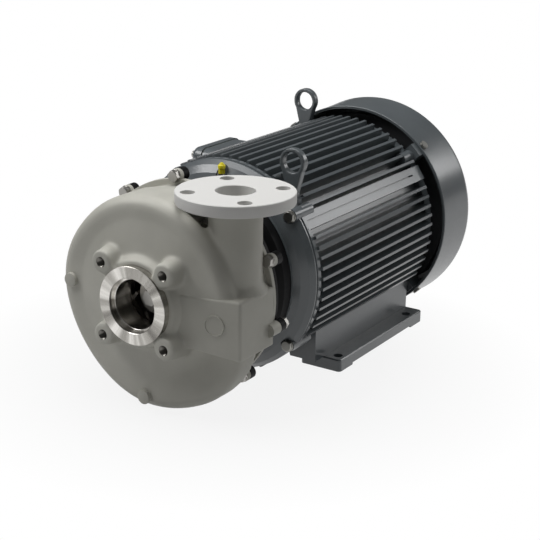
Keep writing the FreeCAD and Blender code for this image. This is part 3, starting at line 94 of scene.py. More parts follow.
def noiseAt(tree, vector, scale, detail=4.0, rough=0.55):
    noise = tree.nodes.new("ShaderNodeTexNoise")
    noise.inputs["Scale"].default_value = scale
    noise.inputs["Detail"].default_value = detail
    noise.inputs["Roughness"].default_value = rough
    tree.links.new(vector, noise.inputs["Vector"])
    return noise.outputs["Fac"]


def rampBetween(tree, value, stops):
    ramp = tree.nodes.new("ShaderNodeValToRGB")
    elements = ramp.color_ramp.elements
    while len(elements) < len(stops):
        elements.new(0.5)
    for element, (place, colour) in zip(elements, stops):
        element.position = place
        element.color = (*colour, 1)
    tree.links.new(value, ramp.inputs["Fac"])
    return ramp.outputs["Color"]


def feed(tree, value, shader, socket):
    tree.links.new(value, shader.inputs[socket])


def rangeTo(tree, value, low, high):
    remap = tree.nodes.new("ShaderNodeMapRange")
    remap.inputs["To Min"].default_value = low
    remap.inputs["To Max"].default_value = high
    tree.links.new(value, remap.inputs["Value"])
    return remap.outputs["Result"]


def bumpFrom(tree, shader, height, strength, distance, previous=None):
    bump = tree.nodes.new("ShaderNodeBump")
    bump.inputs["Strength"].default_value = strength
    bump.inputs["Distance"].default_value = distance
    tree.links.new(height, bump.inputs["Height"])
    if previous is not None:
        tree.links.new(previous, bump.inputs["Normal"])
    feed(tree, bump.outputs["Normal"], shader, "Normal")
    return bump.outputs["Normal"]


def blastedStainless():
    material, tree, shader = startMaterial("blastedStainless", (0.52, 0.513, 0.462), 0.55, 0.1)
    shader.inputs["Specular IOR Level"].default_value = 0.35
    place = objectPlace(tree)
    cloud = noiseAt(tree, place, 9.0, 5.0)
    stops = [(0.3, (0.47, 0.463, 0.415)), (0.7, (0.57, 0.561, 0.507))]
    feed(tree, rampBetween(tree, cloud, stops), shader, "Base Color")
    grain = noiseAt(tree, place, 900.0, 3.0, 0.6)
    feed(tree, rangeTo(tree, grain, 0.46, 0.62), shader, "Roughness")
    ripple = noiseAt(tree, place, 60.0, 3.0)
    first = bumpFrom(tree, shader, ripple, 0.25, 0.0006)
    bumpFrom(tree, shader, grain, 0.35, 0.00025, first)
    return material


def machinedFlange():
    material, tree, shader = startMaterial("machinedFlange", (0.74, 0.735, 0.715), 0.55, 0.1)
    shader.inputs["Specular IOR Level"].default_value = 0.25
    place = objectPlace(tree)
    grain = noiseAt(tree, place, 500.0, 3.0)
    feed(tree, rangeTo(tree, grain, 0.48, 0.62), shader, "Roughness")
    bumpFrom(tree, shader, grain, 0.2, 0.0001)
    return material


def turnedRingPaintedSheen():
    # Turning marks round the shaft in roughness and bump, with painted reflection across them:
    # bright and dark radial streaks in the colour
    material, tree, shader = startMaterial("turnedRingPaintedSheen", (0.5, 0.48, 0.45), 0.28, 1.0)
    place = objectPlace(tree)
    coords = tree.nodes.new("ShaderNodeTexCoord")
    lay = tree.nodes.new("ShaderNodeMapping")
    lay.inputs["Rotation"].default_value = (math.radians(90), 0, 0)
    tree.links.new(coords.outputs["Object"], lay.inputs["Vector"])
    sweep = tree.nodes.new("ShaderNodeTexGradient")
    sweep.gradient_type = "RADIAL"
    tree.links.new(lay.outputs["Vector"], sweep.inputs["Vector"])
    paintedSheenStreaks = tree.nodes.new("ShaderNodeTexNoise")
    paintedSheenStreaks.noise_dimensions = "1D"
    paintedSheenStreaks.inputs["Scale"].default_value = 9.0
    paintedSheenStreaks.inputs["Detail"].default_value = 3.0
    tree.links.new(sweep.outputs["Fac"], paintedSheenStreaks.inputs["W"])
    # Painted reflection: the streak colours run from dark to bright
    stops = [(0.32, (0.2, 0.19, 0.175)), (0.5, (0.42, 0.405, 0.375)), (0.66, (0.8, 0.78, 0.74))]
    feed(tree, rampBetween(tree, paintedSheenStreaks.outputs["Fac"], stops), shader, "Base Color")
    waves = tree.nodes.new("ShaderNodeTexWave")
    waves.wave_type = "RINGS"
    waves.rings_direction = "Y"
    waves.inputs["Scale"].default_value = 420.0
    waves.inputs["Distortion"].default_value = 0.6
    tree.links.new(place, waves.inputs["Vector"])
    feed(tree, rangeTo(tree, waves.outputs["Fac"], 0.24, 0.38), shader, "Roughness")
    bumpFrom(tree, shader, waves.outputs["Fac"], 0.25, 0.00006)
    return material


def brightSteel():
    material, tree, shader = startMaterial("brightSteel", (0.36, 0.35, 0.33), 0.36, 1.0)
    place = objectPlace(tree)
    scuff = noiseAt(tree, place, 350.0, 4.0)
    feed(tree, rangeTo(tree, scuff, 0.3, 0.42), shader, "Roughness")
    bumpFrom(tree, shader, scuff, 0.06, 0.0001)
    return material


def plainSteel(name, colour, roughness):
    material, tree, shader = startMaterial(name, colour, roughness, 1.0)
    place = objectPlace(tree)
    scuff = noiseAt(tree, place, 260.0, 4.0)
    feed(tree, rangeTo(tree, scuff, roughness - 0.07, roughness + 0.1), shader, "Roughness")
    bumpFrom(tree, shader, scuff, 0.06, 0.0001)
    return material


def motorEnamel():
    material, tree, shader = startMaterial("motorEnamel", (0.096, 0.11, 0.118), 0.36)
    shader.inputs["Coat Weight"].default_value = 0.5
    shader.inputs["Coat Roughness"].default_value = 0.2
    place = objectPlace(tree)
    cloud = noiseAt(tree, place, 14.0, 4.0)
    stops = [(0.3, (0.087, 0.1, 0.108)), (0.7, (0.107, 0.122, 0.13))]
    feed(tree, rampBetween(tree, cloud, stops), shader, "Base Color")
    peel = noiseAt(tree, place, 190.0, 2.0)
    feed(tree, rangeTo(tree, peel, 0.30, 0.42), shader, "Roughness")
    bumpFrom(tree, shader, peel, 0.22, 0.0003)
    return material


def adapterBlackPaintAndShade():
    # Black paint, darkened to near zero: the extra darkness is painted shade of the recess between
    # the casing and the motor
    material, tree, shader = startMaterial("adapterBlackPaintAndShade", (0.006, 0.006, 0.0065), 0.55)
    shader.inputs["Specular IOR Level"].default_value = 0.15
    place = objectPlace(tree)
    peel = noiseAt(tree, place, 240.0, 3.0)
    feed(tree, rangeTo(tree, peel, 0.44, 0.6), shader, "Roughness")
    bumpFrom(tree, shader, peel, 0.3, 0.0003)
    return material


def mouldedPlastic(name, colour, roughness):
    material, tree, shader = startMaterial(name, colour, roughness)
    place = objectPlace(tree)
    grain = noiseAt(tree, place, 700.0, 2.0)
    feed(tree, rangeTo(tree, grain, roughness - 0.06, roughness + 0.08), shader, "Roughness")
    bumpFrom(tree, shader, grain, 0.12, 0.0001)
    return material


def stackedCore():
    material, tree, shader = startMaterial("stackedCore", (0.3, 0.3, 0.31), 0.5, 0.9)
    place = objectPlace(tree)
    waves = tree.nodes.new("ShaderNodeTexWave")
    waves.bands_direction = "Y"
    waves.inputs["Scale"].default_value = 300.0
    tree.links.new(place, waves.inputs["Vector"])
    stops = [(0.2, (0.16, 0.16, 0.17)), (0.8, (0.34, 0.34, 0.35))]
    feed(tree, rampBetween(tree, waves.outputs["Fac"], stops), shader, "Base Color")
    bumpFrom(tree, shader, waves.outputs["Fac"], 0.3, 0.0002)
    return material


def copperCoils():
    material, tree, shader = startMaterial("copperCoils", (0.42, 0.17, 0.07), 0.4, 0.6)
    place = objectPlace(tree)
    strands = noiseAt(tree, place, 420.0, 2.0)
    stops = [(0.35, (0.2, 0.07, 0.03)), (0.65, (0.5, 0.22, 0.09))]
    feed(tree, rampBetween(tree, strands, stops), shader, "Base Color")
    bumpFrom(tree, shader, strands, 0.6, 0.0008)
    return material


finishes = {
    "cast_stainless": blastedStainless(),
    "bright_steel": brightSteel(),
    "motor_paint": motorEnamel(),
    "adapter_paint": adapterBlackPaintAndShade(),
    "turned_steel": plainSteel("turnedSteel", (0.5, 0.5, 0.5), 0.3),
    "inner_stainless": plainSteel("innerStainless", (0.46, 0.44, 0.41), 0.4),
    "seal_carbon": mouldedPlastic("sealCarbon", (0.03, 0.03, 0.032), 0.4),
    "gasket_fibre": mouldedPlastic("gasketFibre", (0.09, 0.1, 0.09), 0.75),
    "slinger_rubber": mouldedPlastic("slingerRubber", (0.03, 0.03, 0.03), 0.6),
    "core_steel": stackedCore(),
    "copper_winding": copperCoils(),
    "fan_plastic": mouldedPlastic("fanPlastic", (0.035, 0.037, 0.04), 0.5),
    "cap_yellow": mouldedPlastic("capYellow", (0.86, 0.74, 0.01), 0.32),
    "zinc_steel": plainSteel("zincSteel", (0.3, 0.295, 0.275), 0.38),
    "block_plastic": mouldedPlastic("blockPlastic", (0.05, 0.05, 0.05), 0.5),
}
flangeFinish = machinedFlange()
ringTurningAndPaintedSheen = turnedRingPaintedSheen()
# Darker than the casing's stainless: painted shade inside the tapped lug holes
holeThreadPaintedShade = plainSteel("cutThreadPaintedShade", (0.17, 0.165, 0.15), 0.3)

slotOf = {part["node"]: part["material_slot"] for part in frame["record"]["subparts"]}
for nodeName, slotName in slotOf.items():
    nodes[nodeName].data.materials.clear()
    nodes[nodeName].data.materials.append(finishes[slotName])
print("finishes on the frame's nodes")


# Modelling helpers. Their sizes are in millimetres, and Blender's are in metres.
mm = 0.001
merge = {"fine": 1e-6, "cadFaces": 1e-5}


def activate(piece):
    bpy.ops.object.select_all(action="DESELECT")
    piece.select_set(True)
    bpy.context.view_layer.objects.active = piece


def settle(piece):
    activate(piece)
    bpy.ops.object.transform_apply(location=True, rotation=True, scale=True)


def tidySurface(piece, distance=merge["fine"]):
    activate(piece)
    bpy.ops.object.mode_set(mode="EDIT")
    bpy.ops.mesh.select_all(action="SELECT")
    bpy.ops.mesh.remove_doubles(threshold=distance)
    bpy.ops.mesh.delete_loose()
    bpy.ops.mesh.select_all(action="SELECT")
    bpy.ops.mesh.normals_make_consistent(inside=False)
    bpy.ops.object.mode_set(mode="OBJECT")


def lathe(name, profile, axis="Y", centre=(0, 0), steps=96):
    # The profile is a closed loop of (radius, height) corners
    bpy.ops.object.select_all(action="DESELECT")
    bpy.ops.mesh.primitive_circle_add(vertices=len(profile), radius=1)
    piece = bpy.context.object
    piece.name = name
    cx, cother = centre[0] * mm, centre[1] * mm
    for vertex, (radius, height) in zip(piece.data.vertices, profile):
        if axis == "Y":
            vertex.co = (cx + radius * mm, height * mm, cother)
        else:
            vertex.co = (cx + radius * mm, cother, height * mm)
    middle, turn = ((cx, 0, cother), (0, 1, 0)) if axis == "Y" else ((cx, cother, 0), (0, 0, 1))
    bpy.ops.object.mode_set(mode="EDIT")
    bpy.ops.mesh.select_all(action="SELECT")
    bpy.ops.mesh.spin(steps=steps, angle=2 * math.pi, center=middle, axis=turn)
    bpy.ops.object.mode_set(mode="OBJECT")
    tidySurface(piece)
    return piece


def rod(name, radius, low, high, axis, centre, sides=48, farRadius=None):
    # A round bar or a cone between two heights along Y or Z
    bpy.ops.object.select_all(action="DESELECT")
    depth = (high - low) * mm
    middle = (low + high) / 2 * mm
    cx, cother = centre[0] * mm, centre[1] * mm
    place = (cx, middle, cother) if axis == "Y" else (cx, cother, middle)
    turn = (-math.pi / 2, 0, 0) if axis == "Y" else (0, 0, 0)
    far = radius if farRadius is None else farRadius
    bpy.ops.mesh.primitive_cone_add(vertices=sides, radius1=radius * mm, radius2=far * mm,
                                    depth=depth, location=place, rotation=turn)
    piece = bpy.context.object
    piece.name = name
    settle(piece)
    return piece


def brick(name, low, high):
    bpy.ops.object.select_all(action="DESELECT")
    bpy.ops.mesh.primitive_cube_add(size=1)
    piece = bpy.context.object
    piece.name = name
    for vertex in piece.data.vertices:
        sides = zip(vertex.co, low, high)
        vertex.co = [(far if side > 0 else near) * mm for side, near, far in sides]
    return piece


def turnAboutShaft(piece, degrees):
    # From +X towards +Z
    piece.data.transform(Matrix.Rotation(-math.radians(degrees), 4, "Y"))


def onCircle(radius, degrees):
    return radius * math.cos(math.radians(degrees)), radius * math.sin(math.radians(degrees))


def joined(pieces):
    activate(pieces[0])
    for piece in pieces[1:]:
        piece.select_set(True)
    bpy.ops.object.join()
    return bpy.context.object


def carve(piece, tool, operation="DIFFERENCE"):
    activate(piece)
    cut = piece.modifiers.new("cut", "BOOLEAN")
    cut.operation = operation
    cut.solver = "EXACT"
    cut.object = tool
    bpy.ops.object.modifier_apply(modifier=cut.name)
    bpy.data.objects.remove(tool, do_unlink=True)


def remeshed(piece, voxel):
    activate(piece)
    remesh = piece.modifiers.new("skin", "REMESH")
    remesh.mode = "VOXEL"
    remesh.voxel_size = voxel * mm
    bpy.ops.object.modifier_apply(modifier=remesh.name)


def softened(piece, factor, rounds):
    activate(piece)
    soften = piece.modifiers.new("soften", "SMOOTH")
    soften.factor = factor
    soften.iterations = rounds
    bpy.ops.object.modifier_apply(modifier=soften.name)


def rounded(piece, width, segments, chosen, profile=0.5):
    # Bevels the edges that the test picks
    activate(piece)
    bpy.ops.object.mode_set(mode="EDIT")
    bpy.ops.mesh.select_all(action="DESELECT")
    bpy.ops.mesh.select_mode(type="EDGE")
    bpy.ops.object.mode_set(mode="OBJECT")
    points = piece.data.vertices
    for edge in piece.data.edges:
        edge.select = chosen(points[edge.vertices[0]].co, points[edge.vertices[1]].co)
    bpy.ops.object.mode_set(mode="EDIT")
    bpy.ops.mesh.bevel(offset=width * mm, segments=segments, profile=profile, affect="EDGES")
    bpy.ops.object.mode_set(mode="OBJECT")


def cadCopy(node, name):
    piece = nodes[node].copy()
    piece.data = nodes[node].data.copy()
    piece.name = name
    bpy.context.scene.collection.objects.link(piece)
    piece.parent = None
    piece.matrix_world = Matrix.Identity(4)
    tidySurface(piece, merge["cadFaces"])
    return piece


def finished(piece, body, slotName, finish, smoothAngle=35):
    activate(piece)
    bpy.ops.object.shade_smooth_by_angle(angle=math.radians(smoothAngle))
    piece.data.materials.clear()
    piece.data.materials.append(finish)
    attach(piece, body)


# Volute casing. Angles are in degrees from +X towards +Z.
casing = {"startRadius": 126.0, "endRadius": 156.0, "wrap": 300.0, "back": 80.0,
          "frontY": 30.0, "backY": 92.0, "shoulder": 18.0, "shoulderSteps": 10,
          "wall": 10.0, "cavityFrontY": 51.6, "cavityBackY": 84.0, "sides": 144, "voxel": 2.3,
          "softFactor": 0.5, "softRounds": 7,
          "rearCutY": 110.05, "rearCutReach": 220, "rearCutEndY": 140,
          "cutwaterAngle": 55, "cutwaterSpread": 45, "cutwaterDip": 9.5,
          "dentDepth": 17.0, "dentAngle": 324.0, "dentSpread": 60.0,
          "dentRadii": (66, 104), "dentDepths": (56, 90),
          "pinchDepth": 3.5, "pinchAngle": 222.0, "pinchSpread": 42.0,
          "swellHeight": 3.0, "swellAngle": 168.0, "swellSpread": 34.0,
          "rimRadii": (104, 132), "rimDepths": (78, 92)}
# Turned about the shaft, as (radius, y) corners
casingProfiles = {
    "dome": [(0, 20), (46, 20), (62, 21.5), (111, 30.6), (111, 44), (0, 44)],
    "barrel": [(0, 84), (134, 84), (134, 112), (0, 112)],
    "collar": [(0, 10), (56, 10), (57, 10.8), (65, 26), (66, 34), (0, 34)],
    "cavity": [(0, 38.9), (46.1, 38.9), (46.1, casing["cavityFrontY"]),
               (102, casing["cavityFrontY"]), (102, 84), (108.1, 84), (108.1, 120), (0, 120)],
}
# Cut out along the shaft: radius, front y, back y
seats = {"ringSeat": (52.45, -5, 13.9), "boreSeat": (38.05, 5, 45)}
valley = {"radius": 18, "frontY": 50, "backY": 114, "circle": 130, "angle": 61}
quarters = (45, 135, 225, 315)
lugs = {"circle": 69.85, "radius": 15.0, "rootRadius": 20.0, "faceY": 0.8, "rootY": 40.0,
        "webWidth": 20.0, "webStart": 30, "webStep": 1.6, "webRootY": 38,
        "hole": 6.95, "holeFrontY": -5, "holeBackY": 24.8, "room": 22, "roomFrontY": -8}
block = {"leftX": 48.0, "rightX": 143.0, "leftFrontY": 18.0, "rightFrontY": 36.0, "backY": 117.0,
         "leftBottomZ": -46.0, "rightBottomZ": -57.0, "topZ": 23.0, "edge": 4.0, "inset": 0.5,
         "edgeSteps": 4, "rearLow": (48, 97, -51), "rearHigh": (137, 118, 23),
         "roomRadius": 130, "roomFrontY": 47, "roomBackY": 130, "neckRoomZ": (-70, 60)}
bosses = {"places": ((-124.6, 3.8), (-4.2, -136.0)), "radius": 9.6, "frontY": 25.0, "backY": 55.0,
          "rootRadius": 9.5, "rootFarRadius": 13, "rootY": (35, 62)}
neck = {"centre": (102.5, 83.0), "radius": 34.5, "flangeBottomZ": 134.1, "boreRadius": 27.05,
        "bottomZ": -20, "topZ": 136, "flareZ": 127, "flare": 7, "footZ": (20, 32), "footFlare": 9,
        "boreZ": (70, 140), "flangeRoom": 82, "flangeRoomTopZ": 170}


def spiralRadius(degrees):
    degrees = degrees % 360
    growth = (casing["endRadius"] - casing["startRadius"]) / casing["wrap"]
    landingAngle = casing["wrap"] + casing["back"] - 360
    if degrees > casing["wrap"] or degrees < landingAngle:
        share = ((degrees - casing["wrap"]) % 360) / casing["back"]
        blend = 0.5 - 0.5 * math.cos(math.pi * share)
        landing = casing["startRadius"] + growth * landingAngle
        return casing["endRadius"] + (landing - casing["endRadius"]) * blend
    return casing["startRadius"] + growth * degrees


def passageRadius(degrees):
    # Dips in at the cutwater beside the neck
    spread = casing["cutwaterSpread"]
    away = min(abs(degrees % 360 - casing["cutwaterAngle"]), spread) / spread
    dip = casing["cutwaterDip"] * (1 + math.cos(math.pi * away))
    return spiralRadius(degrees) - casing["wall"] - dip


def spiralDrum(name, radiusAt, frontY, backY):
    bpy.ops.object.select_all(action="DESELECT")
    bpy.ops.mesh.primitive_cylinder_add(vertices=casing["sides"], radius=1, depth=1)
    piece = bpy.context.object
    piece.name = name
    for vertex in piece.data.vertices:
        angle = math.atan2(vertex.co.y, vertex.co.x)
        radius = radiusAt(math.degrees(angle)) * mm
        depth = (backY if vertex.co.z > 0 else frontY) * mm
        vertex.co = (radius * math.cos(angle), depth, radius * math.sin(angle))
    tidySurface(piece)
    return piece


def bellWeight(angle, kind):
    centre, spread = casing[kind + "Angle"], casing[kind + "Spread"]
    away = abs((angle - centre + 180) % 360 - 180) / spread
    return 0.5 + 0.5 * math.cos(math.pi * away) if away < 1 else 0.0


def easeBetween(value, low, high):
    share = min(max((value - low) / (high - low), 0), 1)
    return share * share * (3 - 2 * share)


def dentFront(piece):
    # The wall falls back below the cast block, and the rim draws in at the lower left
    for vertex in piece.data.vertices:
        x, y, z = vertex.co / mm
        radius = math.hypot(x, z)
        angle = math.degrees(math.atan2(z, x))
        dent = casing["dentDepth"] * bellWeight(angle, "dent")
        dent *= easeBetween(radius, *casing["dentRadii"])
        dent *= 1 - easeBetween(y, *casing["dentDepths"])
        pinch = casing["pinchDepth"] * bellWeight(angle, "pinch")
        pinch -= casing["swellHeight"] * bellWeight(angle, "swell")
        pinch *= easeBetween(radius, *casing["rimRadii"])
        pinch *= 1 - easeBetween(y, *casing["rimDepths"])
        inward = 1 - pinch / max(radius, 1)
        vertex.co = (x * inward * mm, (y + dent) * mm, z * inward * mm)


def castBlock(name, inset, edge):
    piece = brick(name, (block["leftX"], 0, 0), (block["rightX"] - inset, 1, 1))
    for vertex in piece.data.vertices:
        side = "right" if vertex.co.x > 0.1 else "left"
        frontY = block[side + "FrontY"] + inset
        bottomZ = block[side + "BottomZ"] + inset
        vertex.co.y = (block["backY"] if vertex.co.y > 0 else frontY) * mm
        vertex.co.z = (block["topZ"] - inset if vertex.co.z > 0 else bottomZ) * mm
    rounded(piece, edge, block["edgeSteps"], lambda a, b: True)
    return piece


def lugCuts(name, radius, lowY, highY):
    # One tool for each suction lug
    for angle in quarters:
        yield rod(name, radius, lowY, highY, "Y", onCircle(lugs["circle"], angle), 32)


def rearTrim(startX):
    reach = casing["rearCutReach"]
    return brick("rearTrim", (startX, casing["rearCutY"], -reach),
                 (reach, casing["rearCutEndY"], reach))


def lugAndWeb(angle):
    place = onCircle(lugs["circle"], angle)
    lug = rod("lug", lugs["radius"], lugs["faceY"], lugs["rootY"], "Y", place, 48,
              lugs["rootRadius"])
    half = lugs["webWidth"] / 2
    web = brick("web", (lugs["webStart"], lugs["faceY"] + lugs["webStep"], -half),
                (lugs["circle"], lugs["webRootY"], half))
    turnAboutShaft(web, angle)
    return [lug, web]


def neckShapes():
    radius, centre = neck["radius"], neck["centre"]
    footLow, footHigh = neck["footZ"]
    return [
        rod("neck", radius, neck["bottomZ"], neck["topZ"], "Z", centre, 96),
        rod("neckRoot", radius, neck["flareZ"], neck["topZ"], "Z", centre, 96,
            radius + neck["flare"]),
        rod("neckFoot", radius + neck["footFlare"], footLow, footHigh, "Z", centre, 96, radius),
    ]


def bossRoot(name, place):
    low, high = bosses["rootY"]
    return rod(name, bosses["rootRadius"], low, high, "Y", place, 32, bosses["rootFarRadius"])


def castSkin():
    drum = spiralDrum("castBody", spiralRadius, casing["frontY"], casing["backY"])
    frontY = casing["frontY"] * mm
    rounded(drum, casing["shoulder"], casing["shoulderSteps"],
            lambda a, b: abs(a.y - frontY) < 1e-5 and abs(b.y - frontY) < 1e-5)
    dome = lathe("dome", casingProfiles["dome"])
    barrel = lathe("barrel", casingProfiles["barrel"])
    body = joined([drum, dome, barrel])
    remeshed(body, casing["voxel"])
    dentFront(body)
    carve(body, rod("valley", valley["radius"], valley["frontY"], valley["backY"], "Y",
                    onCircle(valley["circle"], valley["angle"])))
    extras = [lathe("collar", casingProfiles["collar"])]
    for angle in quarters:
        extras += lugAndWeb(angle)
    extras.append(castBlock("blockCore", block["inset"], block["edge"]))
    extras.append(brick("blockRear", block["rearLow"], block["rearHigh"]))
    extras += neckShapes()
    for name, place in zip(("leftBoss", "lowerBoss"), bosses["places"]):
        extras.append(bossRoot(name, place))
    body = joined([body] + extras)
    remeshed(body, casing["voxel"])
    softened(body, casing["softFactor"], casing["softRounds"])
    print("casing skin,", len(body.data.vertices), "vertices")
    return body


def castBody():
    body = castSkin()
    carve(body, lathe("cavity", casingProfiles["cavity"], steps=72))
    carve(body, spiralDrum("passage", passageRadius, casing["cavityFrontY"], casing["cavityBackY"]))
    for name, (radius, frontY, backY) in seats.items():
        carve(body, rod(name, radius, frontY, backY, "Y", (0, 0), 96))
    centre = neck["centre"]
    carve(body, rod("neckBore", neck["boreRadius"], *neck["boreZ"], "Z", centre, 64))
    carve(body, rod("flangeRoom", neck["flangeRoom"], neck["flangeBottomZ"] - 0.05,
                    neck["flangeRoomTopZ"], "Z", centre, 64))
    carve(body, rearTrim(-casing["rearCutReach"]))
    for tool in lugCuts("tap", lugs["hole"], lugs["holeFrontY"], lugs["holeBackY"]):
        carve(body, tool)
    for tool in lugCuts("lugFace", lugs["room"], lugs["roomFrontY"], lugs["faceY"]):
        carve(body, tool)
    finished(body, "pump_body", "cast_stainless", finishes["cast_stainless"], 40)
    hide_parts("volute_casing")


def blockShell():
    # The crisp outer faces of the cast block over its softened core
    shell = castBlock("castBlock", 0, block["edge"])
    carve(shell, rod("inside", block["roomRadius"], block["roomFrontY"], block["roomBackY"], "Y",
                     (0, 0), 72))
    carve(shell, rod("neckRoom", neck["boreRadius"], *block["neckRoomZ"], "Z", neck["centre"], 48))
    carve(shell, rearTrim(0))
    finished(shell, "pump_body", "cast_stainless", finishes["cast_stainless"], 40)


def castBosses():
    low, high, radius = bosses["frontY"], bosses["backY"], bosses["radius"]
    profile = [(0, low), (radius - 1.2, low), (radius - 0.3, low + 0.4), (radius, low + 1.4),
               (radius, high), (0, high)]
    pads = [lathe("castBosses", profile, centre=place, steps=40) for place in bosses["places"]]
    finished(joined(pads), "pump_body", "cast_stainless", finishes["cast_stainless"], 30)


suction = {"steps": 128,
           "profile": [(37.1, 0), (51.8, 0), (52.4, 0.6), (52.4, 13.8), (38, 13.8), (38, 38.8),
                       (33, 38.8), (33, 8.5), (33.6, 8), (36.5, 8), (36.5, 0.6)]}


def suctionRing():
    ring = lathe("suctionRing", suction["profile"], steps=suction["steps"])
    finished(ring, "pump_body", "cast_stainless", ringTurningAndPaintedSheen, 30)


thread = {"major": 6.9, "minor": 6.0, "mouthY": 0.9, "turns": 11, "pitch": 2,
          "firstY": (1.4, 2.3, 2.5), "steps": 28,
          "floor": [(6.9, 23.6), (0, 24.6), (0, 24.78), (6.93, 24.78), (6.93, 0.9)]}


def tappedHoles():
    # Threads as close turns down each lug's hole
    major, minor = thread["major"], thread["minor"]
    crest, rootStart, rootEnd = thread["firstY"]
    profile = [(major, thread["mouthY"])]
    for turn in range(thread["turns"]):
        drop = thread["pitch"] * turn
        profile += [(major, crest + drop), (minor, rootStart + drop), (minor, rootEnd + drop)]
    profile += thread["floor"]
    places = [onCircle(lugs["circle"], angle) for angle in quarters]
    holes = [lathe("lugThread", profile, centre=place, steps=thread["steps"]) for place in places]
    threads = joined(holes)
    threads.name = "lugThreads"
    # Finished in the darkened thread steel, painted shade of the holes
    finished(threads, "pump_body", "cast_stainless", holeThreadPaintedShade, 20)


discharge = {"holeCircle": 60.325, "holeRadius": 9.5, "holeZ": (130, 155), "steps": 128,
             "profile": [(26.2, 150), (75.4, 150), (76.2, 149.2), (76.2, 136.4), (75.4, 134.9),
                         (73.8, 134.1), (27, 134.1), (27, 80), (25.4, 80), (25.4, 149.2)]}


def dischargeFlange():
    flange = lathe("dischargeFlange", discharge["profile"], "Z", neck["centre"], discharge["steps"])
    for angle in quarters:
        dx, dy = onCircle(discharge["holeCircle"], angle)
        place = (neck["centre"][0] + dx, neck["centre"][1] + dy)
        hole = rod("flangeHole", discharge["holeRadius"], *discharge["holeZ"], "Z", place, 40)
        carve(flange, hole)
    finished(flange, "pump_body", "cast_stainless", flangeFinish, 30)


# The ears under the neck and behind the block are deeper
rearFlange = {"ears": 10, "firstEar": 22.7, "pitch": 36, "deepEars": (1, 9), "earRadius": 9,
              "earCircle": 146, "earFrontY": 112, "deepFrontY": 100, "backY": 117.9, "steps": 120,
              "profile": [(108.1, 110.1), (134.2, 110.1), (134.2, 112), (141.3, 112), (142, 112.7),
                          (142, 117.9), (108.1, 117.9)]}


def casingFlange():
    flange = lathe("casingFlange", rearFlange["profile"], steps=rearFlange["steps"])
    for index in range(rearFlange["ears"]):
        angle = rearFlange["firstEar"] + rearFlange["pitch"] * index
        place = onCircle(rearFlange["earCircle"], angle)
        frontY = rearFlange["deepFrontY" if index in rearFlange["deepEars"] else "earFrontY"]
        ear = rod("ear", rearFlange["earRadius"], frontY, rearFlange["backY"], "Y", place, 32)
        carve(flange, ear, "UNION")
    finished(flange, "pump_body", "cast_stainless", finishes["cast_stainless"], 30)


# A bare round pad with a thin raised rim
emblem = {"centre": (0.108, 0.0294, -0.012), "steps": 56,
          "profile": [(0, -0.5), (12.1, -0.5), (12.5, -1.5), (13.6, -1.5), (14, -0.5), (14, 2.5),
                      (0, 2.5)]}


def emblemDisc():
    disc = lathe("emblemDisc", emblem["profile"], steps=emblem["steps"])
    slope = math.atan2(block["rightFrontY"] - block["leftFrontY"], block["rightX"] - block["leftX"])
    place = Matrix.Translation(emblem["centre"])
    disc.data.transform(place @ Matrix.Rotation(slope, 4, "Z"))
    finished(disc, "pump_body", "cast_stainless", finishes["cast_stainless"], 30)


castBody()
blockShell()
castBosses()
suctionRing()
tappedHoles()
dischargeFlange()
casingFlange()
emblemDisc()
print("casing modelled")


# Hexagon heads, one shape for each bolt set
# Shares of the width across flats, and the turn from one head to the next
hexHead = {"topCircle": 0.47, "corner": 0.6, "chamfer": 0.075, "collar": 0.56, "collarEdge": 0.7,
           "turn": 17, "steps": 36, "shankSteps": 24, "tip": 1}


def hexBolt(name, flats, washer, head, radius, length):
    # The head looks to -Y from a seat at y = 0
    corner = flats * hexHead["corner"]
    bolt = rod(name, flats / math.sqrt(3), -head, -washer, "Y", (0, 0), 6)
    turned = [(0, -head), (flats * hexHead["topCircle"], -head),
              (corner, -head + flats * hexHead["chamfer"]), (corner, -washer), (0, -washer)]
    carve(bolt, lathe("capTurn", turned, steps=hexHead["steps"]), "INTERSECT")
    collar = [(0, -washer), (flats * hexHead["collar"], -washer),
              (corner, -washer * hexHead["collarEdge"]), (corner, 0), (0, 0)]
    face = lathe("boltFace", collar, steps=hexHead["steps"])
    tip = hexHead["tip"]
    rodShape = [(0, 0), (radius, 0), (radius, length - tip), (radius - tip, length), (0, length)]
    shank = lathe("boltShank", rodShape, steps=hexHead["shankSteps"])
    return joined([bolt, face, shank])


def boltSet(name, node, pattern, slotName):
    # Pattern: (x, z, seat y, towards), with towards +1 for a shank along +Y
    model = hexBolt(name + "Model", *pattern["size"])
    copies = []
    for index, (x, z, seatY, towards) in enumerate(pattern["places"]):
        copied = model.copy()
        copied.data = model.data.copy()
        bpy.context.scene.collection.objects.link(copied)
        turn = Matrix.Rotation(math.radians(hexHead["turn"] * index), 4, "Y")
        if towards < 0:
            turn = Matrix.Rotation(math.pi, 4, "Z") @ turn
        place = Matrix.Translation((x * mm, seatY * mm, z * mm))
        copied.data.transform(place @ turn)
        copies.append(copied)
    bpy.data.objects.remove(model, do_unlink=True)
    bolts = joined(copies)
    bolts.name = name
    tidySurface(bolts)
    finished(bolts, "pump_body", slotName, finishes[slotName], 25)
    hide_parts(node)


casingBolts = {"size": (14.3, 1.6, 8.0, 4.75, 18.0), "circle": 146.0, "first": 22.7, "count": 10,
               "frontSeatY": 112.0, "backSeatY": 130.0, "fromBack": (1, 9)}
shieldBolts = {"size": (14.3, 1.6, 6.4, 4.75, 34.0), "circle": 145.0,
               "angles": (39, 141, 219, 321), "seatY": 196.0}


